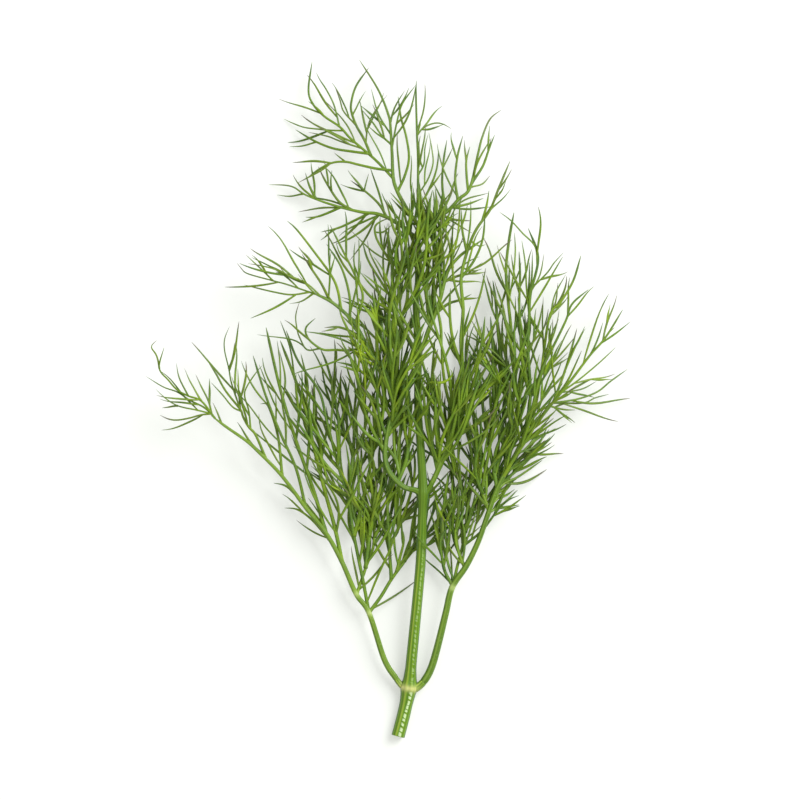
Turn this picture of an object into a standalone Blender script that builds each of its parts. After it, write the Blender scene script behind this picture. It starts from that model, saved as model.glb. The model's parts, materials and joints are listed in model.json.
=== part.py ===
"""A picked sprig of dill, lying on a flat surface.

A ribbed stalk carries nine feathery sprays: a pair at each of its four joints and one at its tip.
A spray is a slim shoot with thin twigs, and the twigs carry thread leaflets in pairs.
Sizes are in millimetres: x to the right, y towards the tip, z up from the surface.
"""
import math
import random

import bmesh
import bpy
import numpy as np
from mathutils import Vector

MILLIMETRE = 0.001

# The stalk
STALK_RIBS = 6
RIB_DEPTH = 0.07           # share of the radius
STALK_STEP = 5.0
PITH_SHARE = 0.62          # width of the soft core at the cut end, as a share of the stalk
PITH_DEPTH = 0.35

# The thin pieces: how many sides they have, and the thickness that roots keep inside their parent
SIDES = {"stub": 6, "shoot": 5, "twig": 4, "blade": 3, "leaflet": 3, "filler": 3}
ROOT_THICKNESS, ROOT_SHARE = 0.30, 0.6

# How the sprays grow
GAP = 0.3                  # clear space between neighbouring sprays
CROSSING_GAP = 0.08        # clear space between leaflets of one spray
SPRAY_MARGIN = 0.05        # what the clearance test adds to the gap between sprays
STUB_LENGTH = 4.2          # what the stalk keeps of each side shoot
STEPS = {"stalk": 0.5, "stub": 2.1, "shoot": 6.0, "twig": 6.4, "blade": 5.2, "leaflet": 6.5, "filler": 7.5}
SEGMENTS_AT_LEAST = {"stalk": 3, "stub": 2, "shoot": 3, "twig": 2, "blade": 2, "leaflet": 1, "filler": 3}
STALK_THICKNESS = (1.6, 0.9)   # radii that the clearance test takes for the stalk's two ends
TWIG_RADIUS, BLADE_RADIUS, LEAFLET_RADIUS = 0.52, 0.41, 0.38
TWIG_TIP, THREAD_TIP = 0.42, 0.1
SAMPLE_STEP = 0.5          # spacing of the points that the clearance test compares
REACH = 2.5                # the test looks no further than this
NEARBY = 0.03              # share of a branch on each side that gives its direction
TIP_CLEARANCE = 1.5        # nothing roots nearer than this to its parent's tip
LIFT_SHARE = 0.35          # share of a branch over which it rises to its lift
LIFTS = (0, 0.8, -0.8, 1.6, -1.6, 2.4, -2.4, 3.2, -3.2, 4.2, -4.2, 5.4)
SOFT_TOP, TOP_ROOM = 12.0, 2.6   # threads level off above the first and stay below the sum of both

# How leaflets stand on a twig: where the first and last pair root, their spacing, lean and length
STATIONS = {"twig": (0.08, 0.64), "blade": (0.2, 0.45), "filler": (0.15, 0.58)}
STATION_JITTER = 0.05
PAIR_SPACING = {"twig": 9.4, "blade": 10.0, "filler": 9.5}
WIDE_ANGLE, NARROW_ANGLE, ANGLE_JITTER = math.radians(30), math.radians(18), math.radians(7)
ROLL = math.radians(40)
ONWARD, SWAY = (-0.3, 1.1), 0.035   # how a leaflet turns towards its tip, and how far it sways
LEAFLET_TRIES = 9
TRY_ROLL, TRY_LENGTH = 0.15, 0.07   # every further try rolls this much more and is this much shorter
LEAFLET_GROWTH = (1.4, 2.4)   # longest leaflet, as a share of its twig's reach
LEAFLET_MARGIN = 2.0       # and it goes no further than this past its twig's tip
SHORTEST_LEAFLET = 4.5
LEFT_EDGE, RIGHT_EDGE = -63.6, 58.4   # no leaflet goes past these
LONE_CHANCE = 0.55         # how many leaflets are left outside the sprig's full parts
SHORTEST_FORKED_BLADE = 9.0
BLADE_REACH = 0.45         # a blade's reach, as a share of its length
ROOT_ROOM = {"leaflet": 2.8, "filler": 4.0}   # root stretch that may touch its own spray

# The sprig's full parts, as ovals: middle and half sizes
FULL_PARTS = [(2, -14, 23, 33), (-22, -7, 9, 13), (2, 17, 15, 16), (27, 3, 14, 21), (25, -18, 12, 16),
              (4, 42, 8, 12)]
FULL_EDGE, FULL_SLOPE = 1.1, 1.6   # where fullness starts, in half sizes, and how fast it grows inwards
LEAST_FULLNESS = 0.1
FULLNESS_AHEAD = 4.0       # a thread asks how full it is this far ahead of its root
# Long threads fill them, fanning out from one place below
FAN_CENTRE = (3.0, -50.0)
FAN_SHARE = 0.45           # how far one turns from its own direction to the fan's
WANDER = 0.55              # most that one turns away from the fan, in radians
FILLER_LENGTH = (17.0, 34.0)
FILLER_ANGLES = (0.2, 0.45)
FILLER_SIDE_ROLL, FILLER_SWAY, FILLER_RISE = 1.2, 1.6, (-4.0, 6.0)
FILLER_STATIONS = (0.04, 0.8)
FILLER_RADIUS, FILLER_REACH, FILLER_TRIES = 0.38, 8.5, 8
MAIN_FILLERS = {"shoot": 6.0, "twig": 16.0}   # spacing of fillers along shoots and twigs

# Points along the middle of the stalk, from the cut end to the fourth joint
STALK_ROUTE = [
    (-0.5, -84.25, 1.3), (1.1, -78, 1.3), (2.25, -72, 1.75), (2.9, -64.75, 2.7), (4, -53.5, 4.0),
    (5.2, -40, 5.2), (5.6, -29, 6.0), (5.75, -23.5, 6.3), (5.5, -17.25, 6.6), (5, -9.5, 6.9),
    (4.5, -2, 7.2), (4.5, 12.25, 7.4), (4.15, 19.75, 7.4), (4, 25.5, 7.3), (4.5, 30, 7.2),
    (4.3, 37.75, 7.0), (4.75, 42.3, 6.9),
]
# Place along the stalk, as y, and the radius there
STALK_RADII = [
    (-84.25, 1.62), (-76, 1.60), (-73.4, 1.85), (-71.8, 2.25), (-70, 1.65), (-67, 1.35), (-53, 1.27),
    (-40, 1.22), (-27, 1.12), (-24.8, 1.35), (-23.3, 1.5), (-21.5, 1.2), (-18, 1.02), (-2, 0.95),
    (10.5, 0.9), (12.2, 1.2), (14, 0.9), (30, 0.75), (39.5, 0.72), (40.9, 0.98), (42.3, 0.78),
]

# Each spray: the route of its shoot from the stalk outwards as (x, y, z), the shoot's radius at
# root and tip, its twigs and its blades. A twig is (height of its tip, longest leaflet, route),
# a blade is (height of its tip, route). Both grow from the nearest part of the spray that is
# already there.
SPRAYS = {
    "spray_low_left": dict(
        shoot=[(2.0, -72, 1.9), (0.5, -71.5, 2.0), (-1.2, -69.4, 2.3), (-4, -64.75, 2.8),
               (-7.75, -53.25, 3.8), (-11, -48.5, 4.2), (-14.5, -40.5, 4.8), (-18.5, -33.25, 5.4),
               (-23.5, -27, 6.4), (-27.5, -21.5, 7.6), (-30.75, -17.5, 8.6), (-35.25, -13, 9.8),
               (-38.25, -10.25, 10.6), (-43.25, -6.75, 11.6), (-47.25, -3.75, 12.2)],
        radii=(1.15, 0.5),
        twigs=[
            (6.0, 9, [(-7.75, -53.25), (-9.25, -45.25), (-11.5, -34), (-13, -25), (-15.5, -16.25),
                      (-18.25, -5.5), (-20.25, 2.25), (-25.5, 9.75), (-28.5, 17.5)]),
            (4.5, 9, [(-14.5, -40.5), (-16.3, -32), (-19, -22), (-21.5, -12), (-23.5, -3), (-26.5, 6),
                      (-30, 15)]),
            (5.5, 9, [(-18.5, -33.25), (-21.5, -23), (-25, -13), (-28, -4), (-30.5, 5), (-33.5, 18.25)]),
            (8.0, 9, [(-23.5, -27), (-26, -17), (-30, -8), (-33.5, 1), (-36.75, 11.25)]),
            (9.0, 8, [(-33.25, -14.5), (-36, -8.75), (-37.75, -6.75), (-39.25, -4), (-39.75, -2.5),
                      (-43.5, 2.25), (-45.75, 6.25), (-47.75, 9.25)]),
            (2.2, 8, [(-11.5, -34), (-9.5, -26), (-7.5, -17), (-6, -9), (-5.5, -3)]),
            (1.8, 8, [(-13, -25), (-12, -16), (-11.5, -7), (-13, 1), (-15, 6)]),
            (3.2, 8, [(-15.5, -16.25), (-15.2, -8), (-16, -1), (-18, 8), (-20, 13)]),
            (1.2, 8, [(-11, -48.5), (-9.6, -45), (-8.5, -41.75), (-6.75, -37), (-6, -33.25),
                      (-1.75, -28.25)]),
            (1.0, 7, [(-7.75, -53.25), (-4.85, -49.25), (-2.25, -45), (0.5, -41.25), (3.25, -37.75),
                      (7.5, -36), (9.75, -34.25), (12, -31.75), (18.25, -28)]),
            (1.2, 7, [(-2.25, -45), (-2.5, -36.5), (-0.5, -32.5), (-1.25, -28.25), (-0.25, -25.5)]),
            (1.0, 6, [(-17, -36), (-21.5, -30.5), (-25.5, -27.5), (-29, -27)]),
            (3.0, 7, [(-25.5, -24), (-28.5, -21.5), (-31.75, -20.75)]),
            (5.0, 7, [(-29, -19), (-30.5, -9), (-33, -1.5), (-35, -1)]),
            (1.0, 8, [(-8.6, -42), (-7.4, -33), (-5, -25), (-3.6, -17), (-3.8, -10)]),
        ],
        blades=[
            (13.5, [(-46.75, -3), (-49.5, -0.25), (-52.75, 1), (-55.5, 2.5), (-57.75, 5), (-60, 8),
                    (-58.75, 13.25)]),
            (12.0, [(-60, 8), (-60.75, 11.25), (-62, 13.25), (-60.5, 15)]),
            (13.0, [(-49, 0.25), (-51.25, 2.75), (-52.5, 5), (-53.75, 8)]),
            (14.0, [(-53, 1), (-55, 5.5), (-55.75, 9.25)]),
            (11.0, [(-46.75, -3), (-47.75, -0.25), (-49.75, 3.75), (-51, 6.5)]),
            (10.5, [(-47.25, -3.5), (-50.75, -2.5), (-55.25, -1.5), (-58.25, 0.25), (-61, 2.75)]),
            (9.0, [(-55.25, -1.5), (-57.3, -1.7), (-59.5, -2)]),
            (9.5, [(-47.25, -3.75), (-49.75, -3.75), (-52.5, -4.5), (-55.5, -5), (-57.75, -4.75),
                   (-60, -3.75)]),
            (12.5, [(-47, -3.5), (-49, -1.75), (-52.5, 0), (-55.5, 2), (-59, 3.25), (-63.5, 6)]),
            (11.5, [(-44.25, -5.8), (-45.6, -3), (-46.75, -0.5)]),
            (11.0, [(-39.75, -3), (-41.75, -1.75), (-44.25, 1.25), (-47.25, 4.5)]),
            (10.0, [(-39.75, -2.5), (-42, 4), (-42.75, 8), (-43.75, 12.25), (-43.75, 15.25),
                    (-42.5, 18.5)]),
            (8.5, [(-42.75, 8), (-41.75, 10.5), (-41.25, 14.5)]),
            (8.0, [(-39.75, -2.5), (-40.25, 2), (-40.5, 8)]),
            (8.0, [(-36.75, -7), (-37.75, -2.5), (-38.75, 0.75), (-38.4, 3), (-36, 6.75), (-34.25, 8.75)]),
            (4.0, [(-29.3, 3), (-30, 9), (-30.75, 15)]),
            (3.5, [(-26, 6), (-27.5, 13), (-30, 20)]),
        ]),
    "spray_low_right": dict(
        shoot=[(2.6, -72, 1.9), (4.25, -71.9, 2.0), (6.25, -70, 2.3), (8, -66.5, 2.6),
               (9.75, -60.25, 3.2), (11.5, -53, 3.8), (13, -46.9, 4.2), (16.25, -42, 4.7),
               (18.25, -38.25, 5.0), (20, -34.25, 5.3), (22.25, -27.75, 5.9), (24.25, -22.25, 6.3),
               (27.75, -15.5, 6.9), (30.75, -10.5, 7.3), (34.5, -5.25, 7.8), (38.25, -0.5, 8.2),
               (40.5, 1.75, 8.4)],
        radii=(1.15, 0.5),
        twigs=[
            (6.5, 9, [(26.25, -18.5), (27.5, -9), (28.25, 0), (28.75, 4.75), (27.75, 12.25),
                      (27.75, 17.5), (27, 25), (26.5, 32.5), (27.25, 40), (28.5, 47)]),
            (7.5, 9, [(30.75, -11.5), (32.5, 0), (32, 12.25), (32.25, 20), (32.6, 26.5), (34.5, 35.5),
                      (32, 43)]),
            (7.0, 9, [(32.5, -8), (35, 5), (37.25, 20.5), (40, 24.25), (43.25, 29.75), (45.25, 36.25)]),
            (3.0, 8, [(13, -46.75), (11.1, -42.5), (10.4, -38.25), (10.25, -33.5), (10.2, -28)]),
            (3.0, 8, [(13.5, -46.25), (14.25, -42), (15.4, -37.5), (16.5, -32.5), (18, -28), (19.5, -23)]),
            (2.6, 8, [(16.25, -42), (14.75, -38.25), (13.4, -34.25), (12.6, -27), (12.5, -22)]),
            (3.6, 9, [(18, -29), (15.6, -22), (13.4, -14), (12.4, -6), (12.2, 1)]),
            (3.8, 9, [(22.25, -28), (19.5, -20), (17.4, -11), (16.6, -3), (16.6, 4)]),
            (4.5, 9, [(24.25, -22), (22.6, -13), (21, -4), (20, 5), (18.5, 12)]),
            (5.0, 9, [(27, -14), (24.2, -5), (23.2, 4), (23.2, 13), (22.6, 21)]),
            (5.0, 8, [(28.3, 0), (25.8, 8), (24.6, 16), (24, 24), (23.2, 30)]),
            (6.0, 8, [(32.3, 9), (30.2, 16), (29.8, 24), (30, 31), (29.75, 37.25)]),
            (6.0, 8, [(35.5, 8), (38.6, 14), (41.5, 20), (43, 24), (47.25, 27.75)]),
            (6.5, 8, [(38.25, -0.5), (41.25, 7.5), (42.75, 12.5), (44.25, 18)]),
            (7.0, 8, [(38.25, -0.5), (42.8, 5), (47.5, 11.25), (51.25, 15.5), (55.75, 22.75)]),
        ],
        blades=[
            (5.5, [(40.5, 1.75), (45, 5.3), (50, 9.5), (54, 13.25)]),
            (4.0, [(51.25, 15.5), (52.4, 17), (53.75, 18.2)]),
            (6.0, [(47.5, 11.25), (49.5, 15.5), (50.75, 19.5)]),
            (7.5, [(41.25, 7.5), (44, 13.75), (46.25, 18.5)]),
            (4.0, [(40.5, 1.75), (45.5, 2.75), (49.25, 4.75)]),
            (2.0, [(38.25, -0.75), (44.25, 0.2), (49.25, 2), (52.75, 4.75), (57, 7.75)]),
            (0.0, [(38, -1), (45.75, -0.75), (48.75, 0.5), (52.5, 1.5)]),
            (1.0, [(37.5, -1.5), (41, -2.4), (44, -2.5)]),
            (0.0, [(29.5, -13.6), (34.25, -11.5), (36.25, -8), (37, -6.75)]),
            (0.0, [(23.6, -22.5), (26.5, -20.6), (29.5, -19.25), (35.75, -15)]),
            (3.0, [(27.2, -17.5), (29.4, -16.6), (31.5, -14.25)]),
            (1.0, [(23.2, -26), (26, -23), (28.75, -20)]),
            (0.0, [(22.6, -28.25), (26, -25.8), (29.5, -22.5)]),
            (4.5, [(16.5, -35.25), (18.25, -33.25), (20.75, -31)]),
            (6.5, [(28.75, 4.75), (25.5, 10), (20.75, 14), (15.5, 16.75)]),
            (8.5, [(34.6, 33.5), (33.75, 38.25), (30.5, 41.75), (27.75, 44.75), (24.75, 47)]),
            (6.0, [(33.2, 28), (36.75, 31.75), (38.5, 34.25), (41, 37)]),
            (4.0, [(10.6, -39), (9, -35.25), (7.9, -31.5)]),
            (7.5, [(26.6, 31), (25.2, 35), (24.25, 38.75)]),
            (4.5, [(37, 20), (39, 25), (39.5, 29.5)]),
            (6.5, [(27, 24), (28.3, 31), (28.8, 37), (28.6, 42)]),
            (7.0, [(32.4, 21), (31.6, 28), (31.3, 34), (30.4, 40)]),
            (7.5, [(32.7, 27), (35, 31.4), (36, 36.6)]),
            (5.5, [(35.8, 12), (35.6, 19), (35.8, 26)]),
            (5.0, [(37.2, 20), (38.6, 26), (41.5, 31.5)]),
        ]),
    "spray_second_left": dict(
        shoot=[(5.5, -23.6, 6.3), (4, -22.6, 6.6), (1, -21.75, 6.9), (-1.75, -19.25, 7.1),
               (-3.25, -16.75, 7.3), (-3.75, -13.5, 7.5), (-3.4, -9.5, 7.6), (-2.75, -6.25, 7.8),
               (-1.75, -2.5, 8.0), (-2.25, 2.5, 8.4), (-3, 5.5, 8.7), (-4.25, 8.25, 9.1),
               (-6.75, 10.75, 9.6), (-9, 15, 10.2), (-11.25, 19, 10.8), (-14.6, 22.5, 11.2),
               (-18, 25, 11.6), (-22.5, 27, 11.8)],
        radii=(0.85, 0.48),
        twigs=[
            (11.0, 8, [(-9.2, 12.9), (-12.5, 12.4), (-15.75, 12.5), (-19, 12.5), (-21.25, 13.75),
                       (-23, 15.5), (-23.5, 18), (-21, 20.5)]),
            (11.0, 8, [(-11.25, 19), (-9.3, 25.75), (-11.25, 31.25), (-13.5, 35.75), (-17.5, 43.75)]),
            (11.0, 8, [(-14.75, 22.6), (-15.6, 27.5), (-17.25, 31.25), (-21.25, 36.75), (-25.75, 42.5),
                       (-28.25, 44.75)]),
            (10.0, 8, [(-3.75, -13), (-6.6, -8), (-9, -2), (-10.5, 4), (-11.5, 9)]),
            (12.0, 8, [(-2.3, -4.5), (-5, 1), (-7.8, 5.5), (-12, 8.5), (-16, 9.5)]),
            (10.5, 8, [(-3.4, -9), (-1.2, -4), (0.6, 2), (1.4, 8)]),
            (11.5, 8, [(-2.2, 2.5), (-0.8, 8), (-0.4, 14), (-0.8, 19)]),
            (12.0, 8, [(-5.5, 9.6), (-5.8, 15), (-6, 21), (-7, 27)]),
            (12.5, 7, [(-9, 15), (-12, 17), (-15.5, 18.2), (-19, 18)]),
            (11.5, 7, [(-17.6, 24.8), (-19.6, 29), (-22, 32.6), (-24.5, 36.5)]),
            (7.0, 8, [(-0.4, -20.6), (1.6, -15), (2.4, -8), (2.4, -1), (1.8, 5)]),
            (11.0, 7, [(-12.6, 20.4), (-12.6, 26), (-14.6, 33), (-18.4, 39)]),
        ],
        blades=[
            (12.0, [(-22.5, 27), (-28, 28.75), (-31.75, 29.75), (-38, 31.5), (-39.5, 32.75),
                    (-40.75, 34.25)]),
            (13.5, [(-31.5, 30), (-35, 33), (-38.5, 36.25)]),
            (14.0, [(-19.5, 25.9), (-23, 28.8), (-27, 30.8), (-31, 32.5), (-34.75, 33.5), (-38, 34)]),
            (10.0, [(-22.5, 26.9), (-27, 26.25), (-31.75, 27), (-39, 28.75)]),
            (15.0, [(-25.5, 29.6), (-28.4, 31.4), (-30.25, 33.6)]),
            (13.5, [(-21, 26.4), (-23.4, 28.8), (-25.5, 31.5)]),
            (13.0, [(-16.5, 24), (-18.3, 26.5), (-19.8, 29.4)]),
            (9.5, [(-21.5, 26.4), (-24.6, 24.6), (-27.75, 24)]),
            (9.0, [(-19.5, 12.4), (-23, 12.6), (-25, 15.5), (-25.75, 18), (-26, 21.25), (-25, 24.75)]),
            (10.5, [(-13, 34), (-15, 36.6), (-16, 39.5)]),
            (12.5, [(-10.4, 29), (-10.2, 35), (-10.25, 40.75)]),
        ]),
    "spray_second_right": dict(
        shoot=[(6.0, -23.6, 6.3), (7.6, -21.4, 6.6), (10, -16.25, 7.0), (13, -7.5, 7.6), (14.75, 0, 8.2),
               (15.5, 7.5, 8.8), (15.25, 15, 9.2), (15.75, 22.5, 9.6), (15.25, 30.25, 9.8),
               (16.75, 37, 9.8), (19, 42.5, 9.8), (22.5, 47.5, 9.6), (24.5, 52.5, 9.2), (27.5, 59.75, 8.6)],
        radii=(0.85, 0.42),
        twigs=[
            (9.5, 8, [(9.6, -17), (9.2, -9), (8.8, -1), (8.2, 7)]),
            (10.0, 8, [(11.6, -12), (15.6, -6), (18.6, 1), (19.6, 8)]),
            (10.5, 8, [(13.6, -5), (11.6, 2), (10.6, 9), (10.4, 16)]),
            (10.5, 8, [(14.75, 0), (18.2, 7), (20.4, 14), (21.2, 21)]),
            (10.5, 8, [(15.5, 8), (13.2, 15), (12.4, 22), (12.6, 28)]),
            (10.0, 8, [(15.3, 15), (18.2, 21), (20.2, 27), (21.4, 33)]),
            (11.0, 8, [(15.7, 22.5), (13.6, 29), (13, 35), (13.2, 41)]),
            (10.0, 8, [(15.3, 30.25), (18.6, 35), (20.6, 40), (21.25, 46.25)]),
            (10.5, 7, [(16.75, 37), (15.6, 42), (15.2, 48)]),
            (9.5, 7, [(20.5, 44.8), (21.6, 48.5), (22.25, 52.5)]),
            (7.0, 8, [(9.4, -17.6), (8.4, -13), (7.4, -6), (7, 1), (7, 7)]),
        ],
        blades=[
            (9.5, [(24.5, 52.5), (26.4, 55), (28, 57.75)]),
            (8.5, [(22.5, 47.5), (25.6, 50.2), (27.75, 52.8)]),
            (11.0, [(23.6, 50), (25.4, 52.2), (26.5, 54.8)]),
            (9.0, [(15.6, 33), (18.2, 32.2), (20.6, 32.75)]),
            (9.5, [(17.6, 39.5), (19.8, 38.4), (21.5, 38.9)]),
        ]),
    "spray_third_left": dict(
        shoot=[(4.4, 12, 7.5), (3.0, 13.6, 8.0), (1.25, 16.75, 8.6), (-0.75, 20.75, 9.0),
               (-1.75, 23.75, 9.1), (-2, 27.5, 9.0), (-1.75, 32, 8.8), (-2.25, 36, 8.6),
               (-3, 40.75, 8.4), (-4, 43.75, 8.2)],
        radii=(0.68, 0.42),
        twigs=[
            (8.0, 8, [(0.75, 17.6), (-3, 22), (-5.4, 27), (-7, 33)]),
            (9.0, 8, [(-0.2, 19.6), (1.6, 24), (2, 29), (1.8, 34)]),
            (7.5, 8, [(-1.8, 25), (-5, 30), (-8, 35), (-9.5, 40)]),
            (8.5, 7, [(-1.8, 31), (0.8, 35.4), (3, 38.6)]),
            (7.0, 7, [(-2.1, 34), (-4.75, 38.25), (-6, 40.75), (-6.25, 43.25), (-4.75, 44.6),
                      (-2.5, 45.4)]),
            (6.5, 7, [(-1.2, 21.8), (-6, 24.6), (-10, 29), (-12.5, 34)]),
        ],
        blades=[
            (9.5, [(-2.2, 36), (-0.75, 40), (0.5, 42), (1.2, 43.6)]),
        ]),
    "spray_third_right": dict(
        shoot=[(4.6, 12, 7.5), (5.9, 13.8, 8.0), (6.8, 16.5, 8.4), (7.75, 19, 8.7), (9.25, 22.75, 9.0),
               (10.25, 26, 9.0), (11.25, 30, 8.8), (12.4, 33, 8.6), (15, 36, 8.2), (18, 38.2, 7.6),
               (21.25, 40.5, 7.0)],
        radii=(0.68, 0.42),
        twigs=[
            (7.5, 8, [(7.5, 18.6), (6.9, 23), (6.8, 28), (7, 33)]),
            (7.0, 8, [(8.8, 21.6), (12, 24), (15, 25), (18, 26.5)]),
            (7.5, 8, [(10.25, 26), (10.1, 30), (10.3, 35), (10.75, 39.75)]),
            (6.5, 7, [(11.2, 29.6), (14.5, 31), (17.5, 31.6), (20.25, 32.75)]),
            (7.0, 7, [(8, 19.6), (8.6, 25), (8.4, 31), (8.2, 37)]),
        ],
        blades=[
            (7.0, [(12.6, 33.2), (12.8, 37), (12.6, 41)]),
        ]),
    "spray_fourth_left": dict(
        shoot=[(4.6, 40.6, 6.9), (3.2, 41.1, 7.0), (1.2, 42.9, 7.0), (-1.2, 44.5, 6.8),
               (-3.2, 45.6, 6.6), (-6, 46.6, 6.2), (-9.75, 47, 5.6), (-16.75, 48.75, 4.4),
               (-23.5, 51.25, 3.2), (-27.25, 53.5, 2.4), (-33, 54, 0.0)],
        radii=(0.62, 0.40),
        twigs=[
            (4.5, 7, [(-3.4, 45.7), (-4.75, 48.25), (-6.75, 50.5), (-9.75, 53), (-12.5, 55)]),
            (4.0, 7, [(-12, 47.5), (-15.25, 49.6), (-18.5, 54.5), (-20.5, 58.5)]),
            (3.0, 7, [(-7.5, 46.8), (-11.5, 44.8), (-15.5, 43), (-19.9, 42)]),
            (2.0, 7, [(-15, 48.2), (-18, 46.8), (-21, 45.8), (-23.75, 45.75)]),
            (2.5, 6, [(-21, 50.2), (-22.6, 53.4), (-23.75, 57)]),
            (5.0, 7, [(-5, 46.3), (-8.6, 43), (-12.5, 40.4), (-16, 39)]),
        ],
        blades=[
            (5.0, [(-9, 52.3), (-8.4, 54.6), (-7.75, 56.75)]),
            (6.5, [(-17.2, 52.5), (-17.3, 55), (-17, 57.5)]),
            (0.0, [(-24, 51.4), (-27.5, 51), (-31, 51.4)]),
        ]),
    "spray_fourth_right": dict(
        shoot=[(4.9, 40.6, 6.9), (6.2, 41.2, 7.0), (7.9, 43.2, 7.0), (10, 45.75, 6.8),
               (12.25, 47.5, 6.5), (14.75, 50.25, 6.2), (17.5, 53, 5.8), (19.5, 61.5, 4.6),
               (20.5, 65.5, 4.0), (22.5, 70.25, 3.0), (25.5, 72.75, 2.2)],
        radii=(0.62, 0.40),
        twigs=[
            (3.5, 7, [(18, 54), (20.6, 58.25), (22.25, 62.75), (23.75, 66.5)]),
            (4.0, 7, [(16.8, 52.2), (16.6, 57), (16.6, 60), (17.5, 63.5)]),
            (3.5, 7, [(14.4, 50), (13.8, 55), (14.4, 61), (15.75, 66.25)]),
            (3.0, 7, [(11.5, 47), (10.6, 53), (10.8, 59), (11.75, 65.25)]),
            (5.0, 7, [(8.8, 44.8), (9.2, 49), (8.8, 53)]),
            (4.5, 7, [(12.8, 48), (17, 49), (21, 50.5)]),
            (5.0, 7, [(10.5, 46.1), (14, 45), (18, 44.8)]),
        ],
        blades=[
            (1.5, [(20.8, 59), (22, 62), (22.9, 65.8)]),
            (0.0, [(17.6, 53.2), (20.5, 54), (22.6, 56.25)]),
            (5.5, [(9.6, 45.5), (12.4, 43.6), (15, 42)]),
            (2.0, [(10.8, 58), (12.2, 61), (13.4, 63.6)]),
        ]),
    "spray_tip": dict(
        shoot=[(4.75, 42.3, 6.9), (4.7, 43.2, 7.0), (3.9, 44.6, 7.4), (2.5, 46.4, 7.8), (1, 48.9, 8.0),
               (-0.75, 52.25, 8.0), (-1.7, 55.5, 7.9), (-2, 61.75, 7.4), (-2.4, 68.5, 6.4),
               (-2.75, 70.75, 6.0), (-4.25, 75, 5.0), (-6.25, 79, 4.0), (-10.25, 85.25, 2.0)],
        radii=(0.66, 0.38),
        twigs=[
            (2.0, 8, [(-1.7, 55.3), (-5.75, 59.75), (-9, 62.5), (-12.5, 65.5), (-15, 68.25), (-19, 71),
                      (-21.75, 74), (-22.9, 77.5), (-22, 84.75)]),
            (2.5, 8, [(-6.9, 60.9), (-9, 65.25), (-10.75, 68.25), (-12, 71.5), (-12.25, 74), (-11, 78.5),
                      (-7.75, 83.25)]),
            (4.0, 7, [(-2.0, 57.4), (-5.8, 57.8), (-10.25, 58.75), (-13.5, 59.5), (-17, 59.25),
                      (-20.5, 57.5), (-23.75, 55)]),
            (1.5, 7, [(-8, 61.7), (-12, 62.1), (-17, 63), (-21.75, 65), (-26.25, 67.75)]),
            (5.0, 8, [(3.6, 45), (4.25, 49.25), (4.5, 55), (4.5, 60.5), (4.25, 66.5), (4, 76), (4.1, 80)]),
            (6.0, 7, [(-0.6, 52), (1.2, 56), (2.25, 60.5), (1.5, 66), (0.25, 70.5), (-0.5, 76)]),
        ],
        blades=[
            (3.5, [(-15, 68.25), (-16.5, 73.75), (-18.5, 77.75), (-20, 80), (-21, 82)]),
            (0.0, [(-14, 67.2), (-17.2, 67.4), (-20.25, 67.75), (-24, 68.25), (-27.25, 69.5),
                   (-29.25, 70.5)]),
            (2.0, [(-11.8, 71.2), (-10, 75), (-8.5, 77.5)]),
            (4.5, [(-10.75, 68.25), (-14, 72), (-15, 75), (-16.25, 78.25)]),
            (4.5, [(-8.5, 64), (-8.3, 66.6), (-7.6, 69.75), (-5.75, 73), (-3, 76.5)]),
            (3.5, [(-9.5, 62.9), (-14.75, 64.6), (-18, 65.9), (-23, 67)]),
            (0.0, [(-21, 64.6), (-24.5, 63.6), (-27.75, 63.5)]),
            (5.5, [(-13.4, 59.6), (-15, 60.6), (-16.5, 61.8)]),
            (5.0, [(-2.4, 69), (-1.25, 73.25), (1.25, 77.5)]),
            (6.0, [(-2.2, 64), (-4.5, 66), (-6.75, 69.25), (-9.75, 72.75)]),
            (4.5, [(-2.3, 66.5), (-5.4, 71.5), (-7.25, 78)]),
            (7.5, [(-2.1, 63), (-0.75, 69.5), (0.6, 74), (4, 78.75)]),
            (7.0, [(-0.9, 69), (1.5, 71.25), (3.6, 74)]),
            (4.5, [(4.5, 56), (6, 59), (6.2, 62.75), (7, 66.5)]),
            (4.0, [(4.4, 51), (6.9, 55), (8.25, 59), (8, 62.5), (7.2, 67)]),
            (3.5, [(4.3, 66), (5.8, 68), (8.5, 69.2), (10.75, 69), (13, 67.75)]),
            (4.0, [(4.3, 66.5), (5, 68.6), (5.25, 70.5)]),
        ]),
}
COLOURS = {
    "main_stem": (0.085, 0.25, 0.02),
    "spray_low_left": (0.085, 0.21, 0.04), "spray_low_right": (0.075, 0.21, 0.03),
    "spray_second_left": (0.13, 0.28, 0.03), "spray_second_right": (0.08, 0.22, 0.05),
    "spray_third_left": (0.10, 0.24, 0.04), "spray_third_right": (0.09, 0.22, 0.04),
    "spray_fourth_left": (0.10, 0.24, 0.04), "spray_fourth_right": (0.09, 0.23, 0.05),
    "spray_tip": (0.11, 0.25, 0.04),
}


def clear_scene():
    for item in list(bpy.data.objects):
        bpy.data.objects.remove(item)


# Curves

def smooth(points, step):
    """Points about one step apart on a smooth curve through the given ones."""
    given = np.array(points, float)
    padded = np.vstack([2 * given[0] - given[1], given, 2 * given[-1] - given[-2]])
    fine = [given[0]]
    for a, b, c, d in zip(padded, padded[1:], padded[2:], padded[3:]):
        for part in np.linspace(0, 1, 9)[1:]:
            fine.append(0.5 * ((2 * b) + (c - a) * part + (2 * a - 5 * b + 4 * c - d) * part ** 2
                               + (3 * b - a - 3 * c + d) * part ** 3))
    return resample(np.array(fine), step)


def lengths_along(points):
    return np.concatenate([[0], np.cumsum(np.linalg.norm(np.diff(points, axis=0), axis=1))])


def resample(points, step):
    """The same line with its points evenly spaced, about one step apart."""
    along = lengths_along(points)
    places = np.linspace(0, along[-1], max(2, round(along[-1] / step) + 1))
    return np.column_stack([np.interp(places, along, points[:, axis]) for axis in range(3)])


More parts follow.
